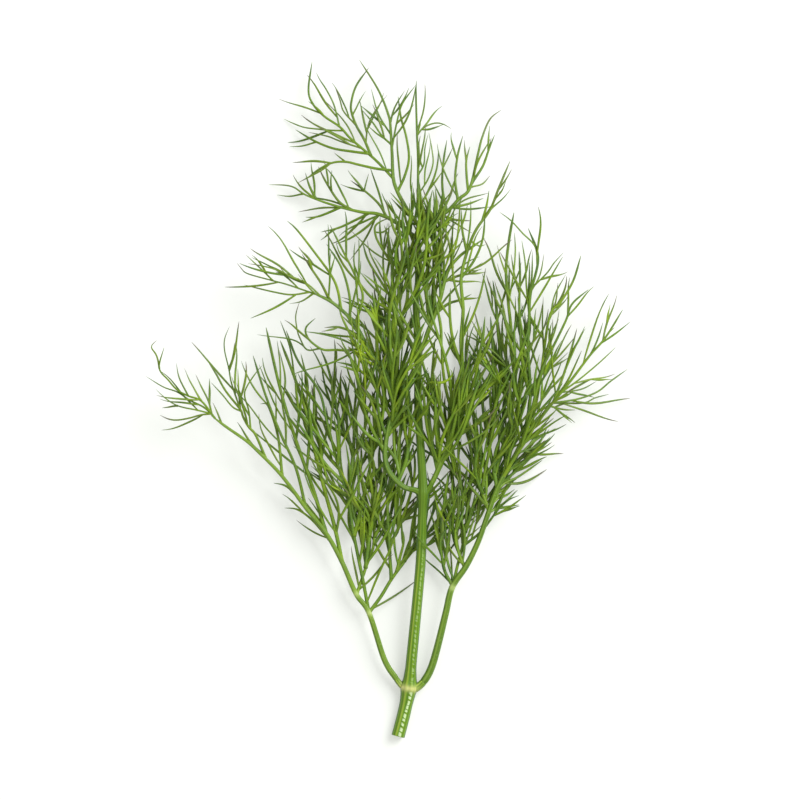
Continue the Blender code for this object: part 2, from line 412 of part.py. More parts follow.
def piece_of(points, start, end):
    """The part of a line between two lengths along it."""
    along = lengths_along(points)
    end = min(end, along[-1])
    inside = points[(along > start) & (along < end)]
    first, final = (np.array([np.interp(place, along, points[:, axis]) for axis in range(3)])
                    for place in (start, end))
    return np.vstack([first, inside, final])


def place_on(points, share):
    along = lengths_along(points)
    return np.array([np.interp(share * along[-1], along, points[:, axis]) for axis in range(3)])


# Growing: each branch is a line with a radius at every point

class Branch:
    """A line of growth: its few points, its radius along it, and where it roots."""

    def __init__(self, kind, line, root_radius, tip_radius, parent=None, share=0.0):
        self.kind = kind
        self.parent = parent
        self.share = share
        self.root_radius = root_radius
        self.tip_radius = tip_radius
        whole = lengths_along(line)[-1]
        count = max(SEGMENTS_AT_LEAST[kind], round(whole / STEPS[kind]))
        self.points = resample(line, whole / count)
        self.length = lengths_along(self.points)[-1]

    def radius(self, share):
        return self.root_radius + (self.tip_radius - self.root_radius) * share

    def at(self, share):
        """The place and the direction at a share of the length."""
        spot, ahead, behind = (place_on(self.points, place) for place in
                               (share, min(share + NEARBY, 1), max(share - NEARBY, 0)))
        return spot, (ahead - behind) / np.linalg.norm(ahead - behind)


class Space:
    """What is already taken: points along every branch, with their radius and their spray."""

    def __init__(self):
        self.points = np.zeros((0, 3))
        self.radii = np.zeros(0)
        self.sprays = np.zeros(0, int)

    def take(self, branch, spray):
        spots = resample(branch.points, SAMPLE_STEP)
        shares = np.linspace(0, 1, len(spots))
        self.points = np.vstack([self.points, spots])
        self.radii = np.concatenate([self.radii, branch.radius(shares)])
        self.sprays = np.concatenate([self.sprays, np.full(len(spots), spray)])

    def shortfall(self, branch, spray, root_room):
        """How much too near the branch comes to what is there; zero or less is clear.

        The root's first stretch is let off its own spray, and with no root_room so is all of it."""
        spots = resample(branch.points, SAMPLE_STEP)
        low, high = spots.min(axis=0) - REACH, spots.max(axis=0) + REACH
        near = np.all((self.points > low) & (self.points < high), axis=1)
        if not near.any():
            return -1.0
        points, radii, sprays = self.points[near], self.radii[near], self.sprays[near]
        own = sprays == spray
        apart = np.linalg.norm(spots[:, None] - points[None], axis=2)
        mine = branch.radius(np.linspace(0, 1, len(spots)))[:, None]
        needed = mine + radii[None] + np.where(own, CROSSING_GAP, GAP + SPRAY_MARGIN)[None]
        lack = needed - apart
        skipped = len(spots) if root_room is None else int(round(root_room / SAMPLE_STEP))
        if own.any():
            lack[:skipped, own] = -1.0
        return float(lack.max())


def nearest_on(branches, spot):
    """The branch that passes nearest to a place in plan, the point of it there and its share."""
    best = None
    for branch in branches:
        line = resample(branch.points, SAMPLE_STEP)
        gaps = np.linalg.norm(line[:, :2] - np.array(spot), axis=1)
        index = min(int(gaps.argmin()), len(line) - 1 - round(TIP_CLEARANCE / SAMPLE_STEP))
        if best is None or gaps[index] < best[0]:
            best = (gaps[index], branch, line[index], index / (len(line) - 1))
    return best[1], best[2], best[3]


def lifted(points, lift):
    """The line raised by the lift from a little way past its root on."""
    share = lengths_along(points) / lengths_along(points)[-1]
    raised = points.copy()
    raised[:, 2] += lift * np.clip(share / LIFT_SHARE, 0, 1)
    return raised


def above_surface(points, radius):
    """The line with nothing of its thickness below the surface; its pointed tip may touch it."""
    kept = points.copy()
    kept[:-1, 2] = np.maximum(kept[:-1, 2], radius)
    kept[-1, 2] = max(kept[-1, 2], 0.0)
    return kept


def between_levels(points, radius):
    """The line kept above the surface and below the sprig's top."""
    kept = above_surface(points, radius)
    over = np.maximum(kept[:, 2] - SOFT_TOP, 0)
    kept[:, 2] -= over - TOP_ROOM * (1 - np.exp(-over / TOP_ROOM))
    return kept


def grow_route(space, number, kind, parents, tip_height, plan, thickest, tip_radius):
    """A twig or blade on the nearest parent, raised or lowered until it is clear, or none."""
    parent, root, share = nearest_on(parents, plan[0])
    along = lengths_along(np.array(plan, float))
    heights = root[2] + (tip_height - root[2]) * along / along[-1]
    points = smooth([tuple(root)] + [(x, y, z) for (x, y), z in zip(plan[1:], heights[1:])], SAMPLE_STEP)
    root_radius = min(thickest, parent.radius(share))
    for lift in LIFTS:
        line = between_levels(lifted(points, lift), root_radius)
        branch = Branch(kind, line, root_radius, tip_radius, parent, share)
        if space.shortfall(branch, number, None) <= 0:
            space.take(branch, number)
            return [branch]
    return []


def leaflet_line(root, along, side, length, angle, onward, sway):
    """A leaflet that leaves its twig at an angle, curves to its onward angle and sways, as points."""
    leaving = math.cos(angle) * along + math.sin(angle) * side
    ending = math.cos(angle * onward) * along + math.sin(angle * onward) * side
    across = math.cos(angle) * side - math.sin(angle) * along
    shares = np.linspace(0, 1, 9)[:, None]
    bend = leaving * (shares - shares ** 2 / 2) + ending * shares ** 2 / 2
    return root + length * (bend + across * sway * np.sin(2 * math.pi * shares) * shares)


def side_of(direction, sign, roll):
    """The direction a leaflet leans to: out to one side, rolled up or down about the twig."""
    level = np.cross([0.0, 0.0, 1.0], direction)
    level /= np.linalg.norm(level)
    upright = np.cross(direction, level)
    return sign * math.cos(roll) * level + math.sin(roll) * upright


def grow_leaflets(space, number, name, index, twig):
    """Leaflets in pairs along a twig, each as long as its place lets it be and only where clear."""
    draw = random.Random(f"{name}-{index}")
    if twig.kind == "blade" and twig.length < SHORTEST_FORKED_BLADE:
        return []
    first, final = STATIONS[twig.kind]
    pairs = max(1, round(twig.length * (final - first) / PAIR_SPACING[twig.kind]) + 1)
    grown = []
    for share in [first] if pairs == 1 else np.linspace(first, final, pairs):
        for sign in (-1, 1):
            root_share = share + draw.uniform(-STATION_JITTER, STATION_JITTER)
            spot, direction = twig.at(root_share)
            if draw.random() > LONE_CHANCE + (1 - LONE_CHANCE) * fullness(spot):
                continue
            size = min(twig.reach * draw.uniform(*LEAFLET_GROWTH), (1 - share) * twig.length + LEAFLET_MARGIN)
            for attempt in range(LEAFLET_TRIES):
                angle = (WIDE_ANGLE + (NARROW_ANGLE - WIDE_ANGLE) * share
                         + draw.uniform(-ANGLE_JITTER, ANGLE_JITTER))
                roll = draw.uniform(-ROLL, ROLL) * (1 + TRY_ROLL * attempt)
                length = size * (1 - TRY_LENGTH * attempt)
                line = leaflet_line(spot, direction, side_of(direction, sign, roll), length, angle,
                                    draw.uniform(*ONWARD), draw.uniform(-SWAY, SWAY))
                line = between_levels(line, LEAFLET_RADIUS)
                leaflet = Branch("leaflet", line, LEAFLET_RADIUS, THREAD_TIP, twig, root_share)
                if (length > SHORTEST_LEAFLET and LEFT_EDGE < line[-1, 0] < RIGHT_EDGE
                        and space.shortfall(leaflet, number, ROOT_ROOM["leaflet"]) <= 0):
                    space.take(leaflet, number)
                    grown.append(leaflet)
                    break
    return grown


def fullness(place):
    """How dense the sprig is at a place, from 0 outside its full parts to 1 inside them."""
    inwards = max(FULL_EDGE - math.hypot((place[0] - x) / wide, (place[1] - y) / tall)
                  for x, y, wide, tall in FULL_PARTS)
    return min(1.0, max(0.0, FULL_SLOPE * inwards))


def filler_line(root, along, side, length, angle, heading, sway, rise):
    """A long thread that leaves its parent, turns to its heading in plan and sways a little."""
    ahead = math.cos(angle) * along + math.sin(angle) * side
    fan = np.array([math.sin(heading), math.cos(heading), 0.0])
    onward = ahead + FAN_SHARE * (fan - ahead)
    level = np.cross([0.0, 0.0, 1.0], onward)
    shares = np.linspace(0, 1, 9)[:, None]
    turning = ahead * 0.6 * shares * (1 - shares) + onward * shares * (0.4 + 0.6 * shares)
    swaying = level * sway * np.sin(math.pi * shares * 1.7) + np.array([0.0, 0.0, rise]) * shares
    return smooth(root + length * turning + swaying, SAMPLE_STEP)


def grow_fillers(space, number, name, index, parent):
    """Long threads on a shoot or twig, only where the sprig is full and where they are clear."""
    draw = random.Random(f"{name}-{index}-{MAIN_FILLERS[parent.kind]}")
    grown = []
    for station in range(round(parent.length / MAIN_FILLERS[parent.kind])):
        root_share = draw.uniform(*FILLER_STATIONS)
        spot, direction = parent.at(root_share)
        if draw.random() > fullness(spot + direction * FULLNESS_AHEAD):
            continue
        fan = math.atan2(spot[0] - FAN_CENTRE[0], spot[1] - FAN_CENTRE[1])
        for attempt in range(FILLER_TRIES):
            side = side_of(direction, draw.choice((-1, 1)), draw.uniform(-FILLER_SIDE_ROLL, FILLER_SIDE_ROLL))
            line = filler_line(spot, direction, side, draw.uniform(*FILLER_LENGTH),
                               draw.uniform(*FILLER_ANGLES), fan + draw.uniform(-WANDER, WANDER),
                               draw.uniform(-FILLER_SWAY, FILLER_SWAY), draw.uniform(*FILLER_RISE))
            filler = Branch("filler", between_levels(line, FILLER_RADIUS), FILLER_RADIUS, THREAD_TIP, parent,
                            root_share)
            if (fullness(line[-1]) > LEAST_FULLNESS
                    and space.shortfall(filler, number, ROOT_ROOM["filler"]) <= 0):
                filler.reach = FILLER_REACH
                space.take(filler, number)
                grown.append(filler)
                break
    return grown


def grow_shoot(space, number, name, plan):
    """The shoot, and the stub that the stalk keeps of it; the sprig's tip has no stub."""
    line = smooth(plan["shoot"], SAMPLE_STEP)
    stub = 0.0 if name == "spray_tip" else STUB_LENGTH
    shoot = Branch("shoot", piece_of(line, stub + GAP, lengths_along(line)[-1]), *plan["radii"])
    shoot.points = above_surface(shoot.points, plan["radii"][1])
    space.take(shoot, number)
    if not stub:
        return shoot, None
    root_radius = plan["radii"][0]
    kept = Branch("stub", above_surface(piece_of(line, 0, stub), root_radius), root_radius, root_radius)
    space.take(kept, -1)
    return shoot, kept


def grow_sprig():
    """Every branch of every spray, and the stubs that stay on the stalk."""
    space = Space()
    space.take(Branch("stalk", smooth(STALK_ROUTE, SAMPLE_STEP), *STALK_THICKNESS), -1)
    sprays, stubs = {}, {}
    for number, (name, plan) in enumerate(SPRAYS.items()):
        shoot, stub = grow_shoot(space, number, name, plan)
        sprays[name] = [shoot]
        if stub:
            stubs[name] = stub
    for number, (name, plan) in enumerate(SPRAYS.items()):
        for tip_height, reach, route in plan["twigs"]:
            grown = grow_route(space, number, "twig", sprays[name], tip_height, route,
                               TWIG_RADIUS, TWIG_TIP)
            for twig in grown:
                twig.reach = reach
            sprays[name] += grown
    for number, (name, plan) in enumerate(SPRAYS.items()):
        for tip_height, route in plan["blades"]:
            grown = grow_route(space, number, "blade", sprays[name], tip_height, route,
                               BLADE_RADIUS, THREAD_TIP)
            for blade in grown:
                blade.reach = BLADE_REACH * blade.length
            sprays[name] += grown
    for number, name in enumerate(SPRAYS):
        for index, parent in enumerate(list(sprays[name])):
            if parent.kind in MAIN_FILLERS:
                sprays[name] += grow_fillers(space, number, name, index, parent)
    for number, name in enumerate(SPRAYS):
        for index, parent in enumerate(list(sprays[name])):
            if parent.kind in ("twig", "blade"):
                sprays[name] += grow_leaflets(space, number, name, index, parent)
    return sprays, stubs


# Meshes

def frames_along(points):
    """A pair of directions square to the line at each point, turning as little as they can."""
    tangents = np.gradient(points, axis=0)
    tangents /= np.linalg.norm(tangents, axis=1)[:, None]
    across = np.cross(tangents[0], [0, 0, 1])
    frames = []
    for tangent in tangents:
        across = across - tangent * (across @ tangent)
        across /= np.linalg.norm(across)
        frames.append((across, np.cross(tangent, across)))
    return frames


def tube(name, points, radii, sides, pointed, rib_depth=0.0, flat_below=None):
    """A closed tube along a line, in metres.

    A pointed one ends in a single tip, and nothing of it goes lower than flat_below."""
    mesh = bmesh.new()
    rings = []
    frames = frames_along(points)
    last = len(points) - 1
    for index, (centre, radius, (across, upward)) in enumerate(zip(points, radii, frames)):
        if pointed and index == last:
            rings.append([mesh.verts.new(Vector(centre) * MILLIMETRE)])
            continue
        ring = []
        for side in range(sides):
            turn = 2 * math.pi * (side + 0.5) / sides
            size = radius * (1 + rib_depth * (1 if side % 2 == 0 else -1))
            spot = centre + size * (math.cos(turn) * across + math.sin(turn) * upward)
            if flat_below is not None:
                spot[2] = max(spot[2], flat_below)
            ring.append(mesh.verts.new(Vector(spot) * MILLIMETRE))
        rings.append(ring)
    mesh.faces.new(list(reversed(rings[0])))
    for near, far in zip(rings, rings[1:]):
        for side in range(sides):
            after = (side + 1) % sides
            if len(far) == 1:
                mesh.faces.new((near[side], near[after], far[0]))
            else:
                mesh.faces.new((near[side], near[after], far[after], far[side]))
    if not pointed:
        mesh.faces.new(rings[-1])
    bmesh.ops.recalc_face_normals(mesh, faces=mesh.faces)
    data = bpy.data.meshes.new(name)
    mesh.to_mesh(data)
    mesh.free()
    item = bpy.data.objects.new(name, data)
    bpy.context.scene.collection.objects.link(item)
    return item


def branch_tube(name, branch):
    """The solid of one branch: a shoot or twig that thins evenly, or an even, pointed thread."""
    if branch.kind in ("shoot", "twig"):
        radii = branch.radius(np.linspace(0, 1, len(branch.points)))
    else:
        radii = np.full(len(branch.points), branch.root_radius)
        radii[0] = min(ROOT_THICKNESS, ROOT_SHARE * branch.parent.radius(branch.share))
    return tube(name, branch.points, radii, SIDES[branch.kind], True)


def join_all(base, others):
    """One Boolean union of the base with every other piece, applied, and the pieces removed."""
    group = bpy.data.collections.new(base.name + "_pieces")
    bpy.context.scene.collection.children.link(group)
    for item in others:
        bpy.context.scene.collection.objects.unlink(item)
        group.objects.link(item)
    union = base.modifiers.new("union", "BOOLEAN")
    union.operation = "UNION"
    union.operand_type = "COLLECTION"
    union.collection = group
    union.solver = "MANIFOLD"
    with bpy.context.temp_override(object=base, active_object=base, selected_objects=[base]):
        bpy.ops.object.modifier_apply(modifier=union.name)
    for item in list(group.objects):
        bpy.data.objects.remove(item)
    bpy.data.collections.remove(group)


def finish(item):
    """Smooth shading and the piece's own green."""
    material = bpy.data.materials.new(item.name + "_green")
    material.use_nodes = True
    shader = material.node_tree.nodes["Principled BSDF"]
    shader.inputs["Base Color"].default_value = (*COLOURS[item.name], 1)
    shader.inputs["Roughness"].default_value = 0.45
    item.data.materials.clear()
    item.data.materials.append(material)
    item.data.shade_smooth()
    item.data.set_sharp_from_angle(angle=math.radians(50))


def build_stalk(stubs):
    """The ribbed stalk with a soft sunken core at the cut end and a stub for each side shoot."""
    fine = smooth(STALK_ROUTE, SAMPLE_STEP)
    places, sizes = zip(*STALK_RADII)
    wanted = list(places)
    for low, high in zip(places, places[1:]):
        between = round((high - low) / STALK_STEP)
        wanted += [low + (high - low) * step / between for step in range(1, between)]
    points = np.array([fine[np.abs(fine[:, 1] - place).argmin()] for place in sorted(wanted)])
    radii = np.interp(points[:, 1], places, sizes)
    stalk = tube("main_stem", points, radii, 2 * STALK_RIBS, False, RIB_DEPTH, flat_below=0.0)
    sink_pith(stalk)
    join_all(stalk, [tube(f"stub_{index}", stub.points, np.full(len(stub.points), stub.root_radius),
                          SIDES["stub"], False) for index, stub in enumerate(stubs.values())])
    finish(stalk)


def sink_pith(stalk):
    """The cut end keeps a rim and sinks a little where the soft core is."""
    mesh = bmesh.new()
    mesh.from_mesh(stalk.data)
    ends = [face for face in mesh.faces if len(face.verts) > 4]
    end = min(ends, key=lambda face: face.calc_center_median().y)
    inward = -end.normal.copy()
    centre = end.calc_center_median()
    rim = list(end.verts)
    core = [mesh.verts.new(centre + (vert.co - centre) * PITH_SHARE) for vert in rim]
    floor = [mesh.verts.new(vert.co + inward * PITH_DEPTH * MILLIMETRE) for vert in core]
    mesh.faces.remove(end)
    for side in range(len(rim)):
        after = (side + 1) % len(rim)
        mesh.faces.new((rim[side], rim[after], core[after], core[side]))
        mesh.faces.new((core[side], core[after], floor[after], floor[side]))
    mesh.faces.new(floor)
    bmesh.ops.recalc_face_normals(mesh, faces=mesh.faces)
    mesh.to_mesh(stalk.data)
    mesh.free()


def build_spray(name, branches):
    """One spray as one solid: its shoot with every twig and leaflet joined to it."""
    base = branch_tube(name, branches[0])
    join_all(base, [branch_tube(f"{name}_{index}", branch) for index, branch in enumerate(branches[1:])])
    finish(base)


def centre_on_origin():
    """Moves the sprig so that the middle of its underside is at the origin."""
    corners = [item.matrix_world @ vert.co for item in bpy.data.objects for vert in item.data.vertices]
    low = Vector([min(corner[axis] for corner in corners) for axis in range(3)])
    high = Vector([max(corner[axis] for corner in corners) for axis in range(3)])
    middle = (low + high) / 2
    for item in bpy.data.objects:
        item.location = (-middle.x, -middle.y, -low.z)


def main():
    clear_scene()
    sprays, stubs = grow_sprig()
    build_stalk(stubs)
    for name, branches in sprays.items():
        build_spray(name, branches)
    centre_on_origin()


if __name__ == "__main__":
    main()
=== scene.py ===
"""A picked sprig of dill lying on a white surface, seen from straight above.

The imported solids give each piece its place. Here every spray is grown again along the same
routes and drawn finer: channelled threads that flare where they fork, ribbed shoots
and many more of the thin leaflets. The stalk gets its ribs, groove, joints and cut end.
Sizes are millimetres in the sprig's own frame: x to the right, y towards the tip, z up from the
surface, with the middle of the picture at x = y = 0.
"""

import json
import math
import random

import bpy
import numpy as np
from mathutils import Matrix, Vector

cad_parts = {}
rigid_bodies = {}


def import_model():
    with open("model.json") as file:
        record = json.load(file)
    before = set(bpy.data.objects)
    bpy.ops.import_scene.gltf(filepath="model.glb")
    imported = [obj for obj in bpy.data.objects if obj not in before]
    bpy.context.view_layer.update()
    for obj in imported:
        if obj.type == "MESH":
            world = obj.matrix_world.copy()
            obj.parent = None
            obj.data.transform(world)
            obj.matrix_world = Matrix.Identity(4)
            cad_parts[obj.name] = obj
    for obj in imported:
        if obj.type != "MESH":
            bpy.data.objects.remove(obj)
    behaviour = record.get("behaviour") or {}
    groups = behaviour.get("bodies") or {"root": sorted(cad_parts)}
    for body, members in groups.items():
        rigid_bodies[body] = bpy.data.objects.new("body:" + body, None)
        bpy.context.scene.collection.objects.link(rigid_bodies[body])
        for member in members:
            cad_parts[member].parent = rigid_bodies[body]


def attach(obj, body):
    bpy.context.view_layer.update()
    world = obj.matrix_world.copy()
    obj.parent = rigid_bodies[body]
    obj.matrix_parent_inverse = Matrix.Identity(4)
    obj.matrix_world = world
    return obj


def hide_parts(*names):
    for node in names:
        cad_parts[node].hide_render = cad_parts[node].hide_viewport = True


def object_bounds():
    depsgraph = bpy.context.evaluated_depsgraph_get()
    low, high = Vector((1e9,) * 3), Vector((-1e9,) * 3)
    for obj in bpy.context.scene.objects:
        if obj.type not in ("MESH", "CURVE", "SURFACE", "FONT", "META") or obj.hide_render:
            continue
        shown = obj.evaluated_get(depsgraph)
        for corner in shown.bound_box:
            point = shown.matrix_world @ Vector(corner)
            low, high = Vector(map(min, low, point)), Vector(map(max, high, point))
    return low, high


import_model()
cad_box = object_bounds()

MILLIMETRE = 0.001

# Growing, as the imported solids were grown
GAP = 0.3                  # clear space between neighbouring sprays
CROSSING_GAP = 0.08        # clear space between leaflets of one spray
SPRAY_MARGIN = 0.05        # what the clearance test adds to the gap between sprays
STUB_LENGTH = 4.2          # what the stalk keeps of each side shoot
STEPS = {"stalk": 0.5, "stub": 2.1, "shoot": 6.0, "twig": 6.4, "blade": 5.2, "leaflet": 6.5, "filler": 7.5}
SEGMENTS_AT_LEAST = {"stalk": 3, "stub": 2, "shoot": 3, "twig": 2, "blade": 2, "leaflet": 1, "filler": 3}
STALK_THICKNESS = (1.6, 0.9)   # radii that the clearance test takes for the stalk's two ends
TWIG_RADIUS, BLADE_RADIUS, LEAFLET_RADIUS = 0.52, 0.41, 0.38
TWIG_TIP, THREAD_TIP = 0.42, 0.1
CURVE_POINTS = 9           # points that give each stretch of a curve
SAMPLE_STEP = 0.5          # spacing of the points that the clearance test compares
REACH = 2.5                # the test looks no further than this
NEARBY = 0.03              # share of a branch on each side that gives its direction
TIP_CLEARANCE = 1.5        # nothing roots nearer than this to its parent's tip
LIFT_SHARE = 0.35          # share of a branch over which it rises to its lift
LIFTS = (0, 0.8, -0.8, 1.6, -1.6, 2.4, -2.4, 3.2, -3.2, 4.2, -4.2, 5.4)
SOFT_TOP, TOP_ROOM = 12.0, 2.6   # threads level off above the first and stay below the sum of both

# How leaflets stand on a twig: where the first and last pair root, their spacing, lean and length
STATIONS = {"twig": (0.08, 0.64), "blade": (0.2, 0.45), "filler": (0.15, 0.58)}
STATION_JITTER = 0.05
PAIR_SPACING = {"twig": 9.4, "blade": 10.0, "filler": 9.5}
WIDE_ANGLE, NARROW_ANGLE, ANGLE_JITTER = math.radians(30), math.radians(18), math.radians(7)
ROLL = math.radians(40)
ONWARD, SWAY = (-0.3, 1.1), 0.035   # how a leaflet turns towards its tip, and how far it sways
LEAFLET_TRIES = 9
TRY_ROLL, TRY_LENGTH = 0.15, 0.07   # every further try rolls this much more and is this much shorter
LEAFLET_GROWTH = (1.4, 2.4)   # longest leaflet, as a share of its twig's reach
LEAFLET_MARGIN = 2.0       # and it goes no further than this past its twig's tip
SHORTEST_LEAFLET = 4.5
LEFT_EDGE, RIGHT_EDGE = -63.6, 58.4   # no leaflet goes past these
LONE_CHANCE = 0.55         # how many leaflets are left outside the sprig's full parts
SHORTEST_FORKED_BLADE = 9.0
BLADE_REACH = 0.45         # a blade's reach, as a share of its length
ROOT_ROOM = {"leaflet": 2.8, "filler": 4.0}   # root stretch that may touch its own spray

# The sprig's full parts, as ovals: middle and half sizes
FULL_PARTS = [(2, -14, 23, 33), (-22, -7, 9, 13), (2, 17, 15, 16), (27, 3, 14, 21), (25, -18, 12, 16),
              (4, 42, 8, 12)]
FULL_EDGE, FULL_SLOPE = 1.1, 1.6   # where fullness starts, in half sizes, and how fast it grows inwards
LEAST_FULLNESS = 0.1
FULLNESS_AHEAD = 4.0       # a thread asks how full it is this far ahead of its root
# Long threads fill them, fanning out from one place below
FAN_CENTRE = (3.0, -50.0)
FAN_SHARE = 0.45           # how far one turns from its own direction to the fan's
WANDER = 0.55              # most that one turns away from the fan, in radians
FILLER_LENGTH = (17.0, 34.0)
FILLER_ANGLES = (0.2, 0.45)
FILLER_SIDE_ROLL, FILLER_SWAY, FILLER_RISE = 1.2, 1.6, (-4.0, 6.0)
FILLER_LEAVING, FILLER_TURNING = 0.4, 0.6   # how soon one turns from its own direction onward
FILLER_WAVES = 1.7         # half waves of its sway
FILLER_STATIONS = (0.04, 0.8)
FILLER_RADIUS, FILLER_REACH, FILLER_TRIES = 0.38, 8.5, 8
MAIN_FILLERS = {"shoot": 6.0, "twig": 16.0}   # spacing of fillers along shoots and twigs

# Finer threads that only the drawn sprays have: where, how near each other and how far they stray
EXTRA_PARTS = [(2, -29, 20, 14), (22, -24, 10, 12), (3, 36, 12, 14), (14, 44, 10, 14), (-6, -2, 12, 11),
               (31, 4, 9, 12)]
EXTRA_FILLERS = {"shoot": 5.0, "twig": 7.5}
EXTRA_WANDER = 0.65
EXTRA_LEEWAY = 0.30        # finer threads may come this much nearer than clear

# Growing: the routes
# Points along the middle of the stalk, from the cut end to the fourth joint
STALK_ROUTE = [
    (-0.5, -84.25, 1.3), (1.1, -78, 1.3), (2.25, -72, 1.75), (2.9, -64.75, 2.7), (4, -53.5, 4.0),
    (5.2, -40, 5.2), (5.6, -29, 6.0), (5.75, -23.5, 6.3), (5.5, -17.25, 6.6), (5, -9.5, 6.9),
    (4.5, -2, 7.2), (4.5, 12.25, 7.4), (4.15, 19.75, 7.4), (4, 25.5, 7.3), (4.5, 30, 7.2),
    (4.3, 37.75, 7.0), (4.75, 42.3, 6.9),
]
# Place along the stalk, as y, and the radius there
STALK_RADII = [
    (-84.25, 1.62), (-76, 1.60), (-73.4, 1.85), (-71.8, 2.25), (-70, 1.65), (-67, 1.35), (-53, 1.27),
    (-40, 1.22), (-27, 1.12), (-24.8, 1.35), (-23.3, 1.5), (-21.5, 1.2), (-18, 1.02), (-2, 0.95),
    (10.5, 0.9), (12.2, 1.2), (14, 0.9), (30, 0.75), (39.5, 0.72), (40.9, 0.98), (42.3, 0.78),
]

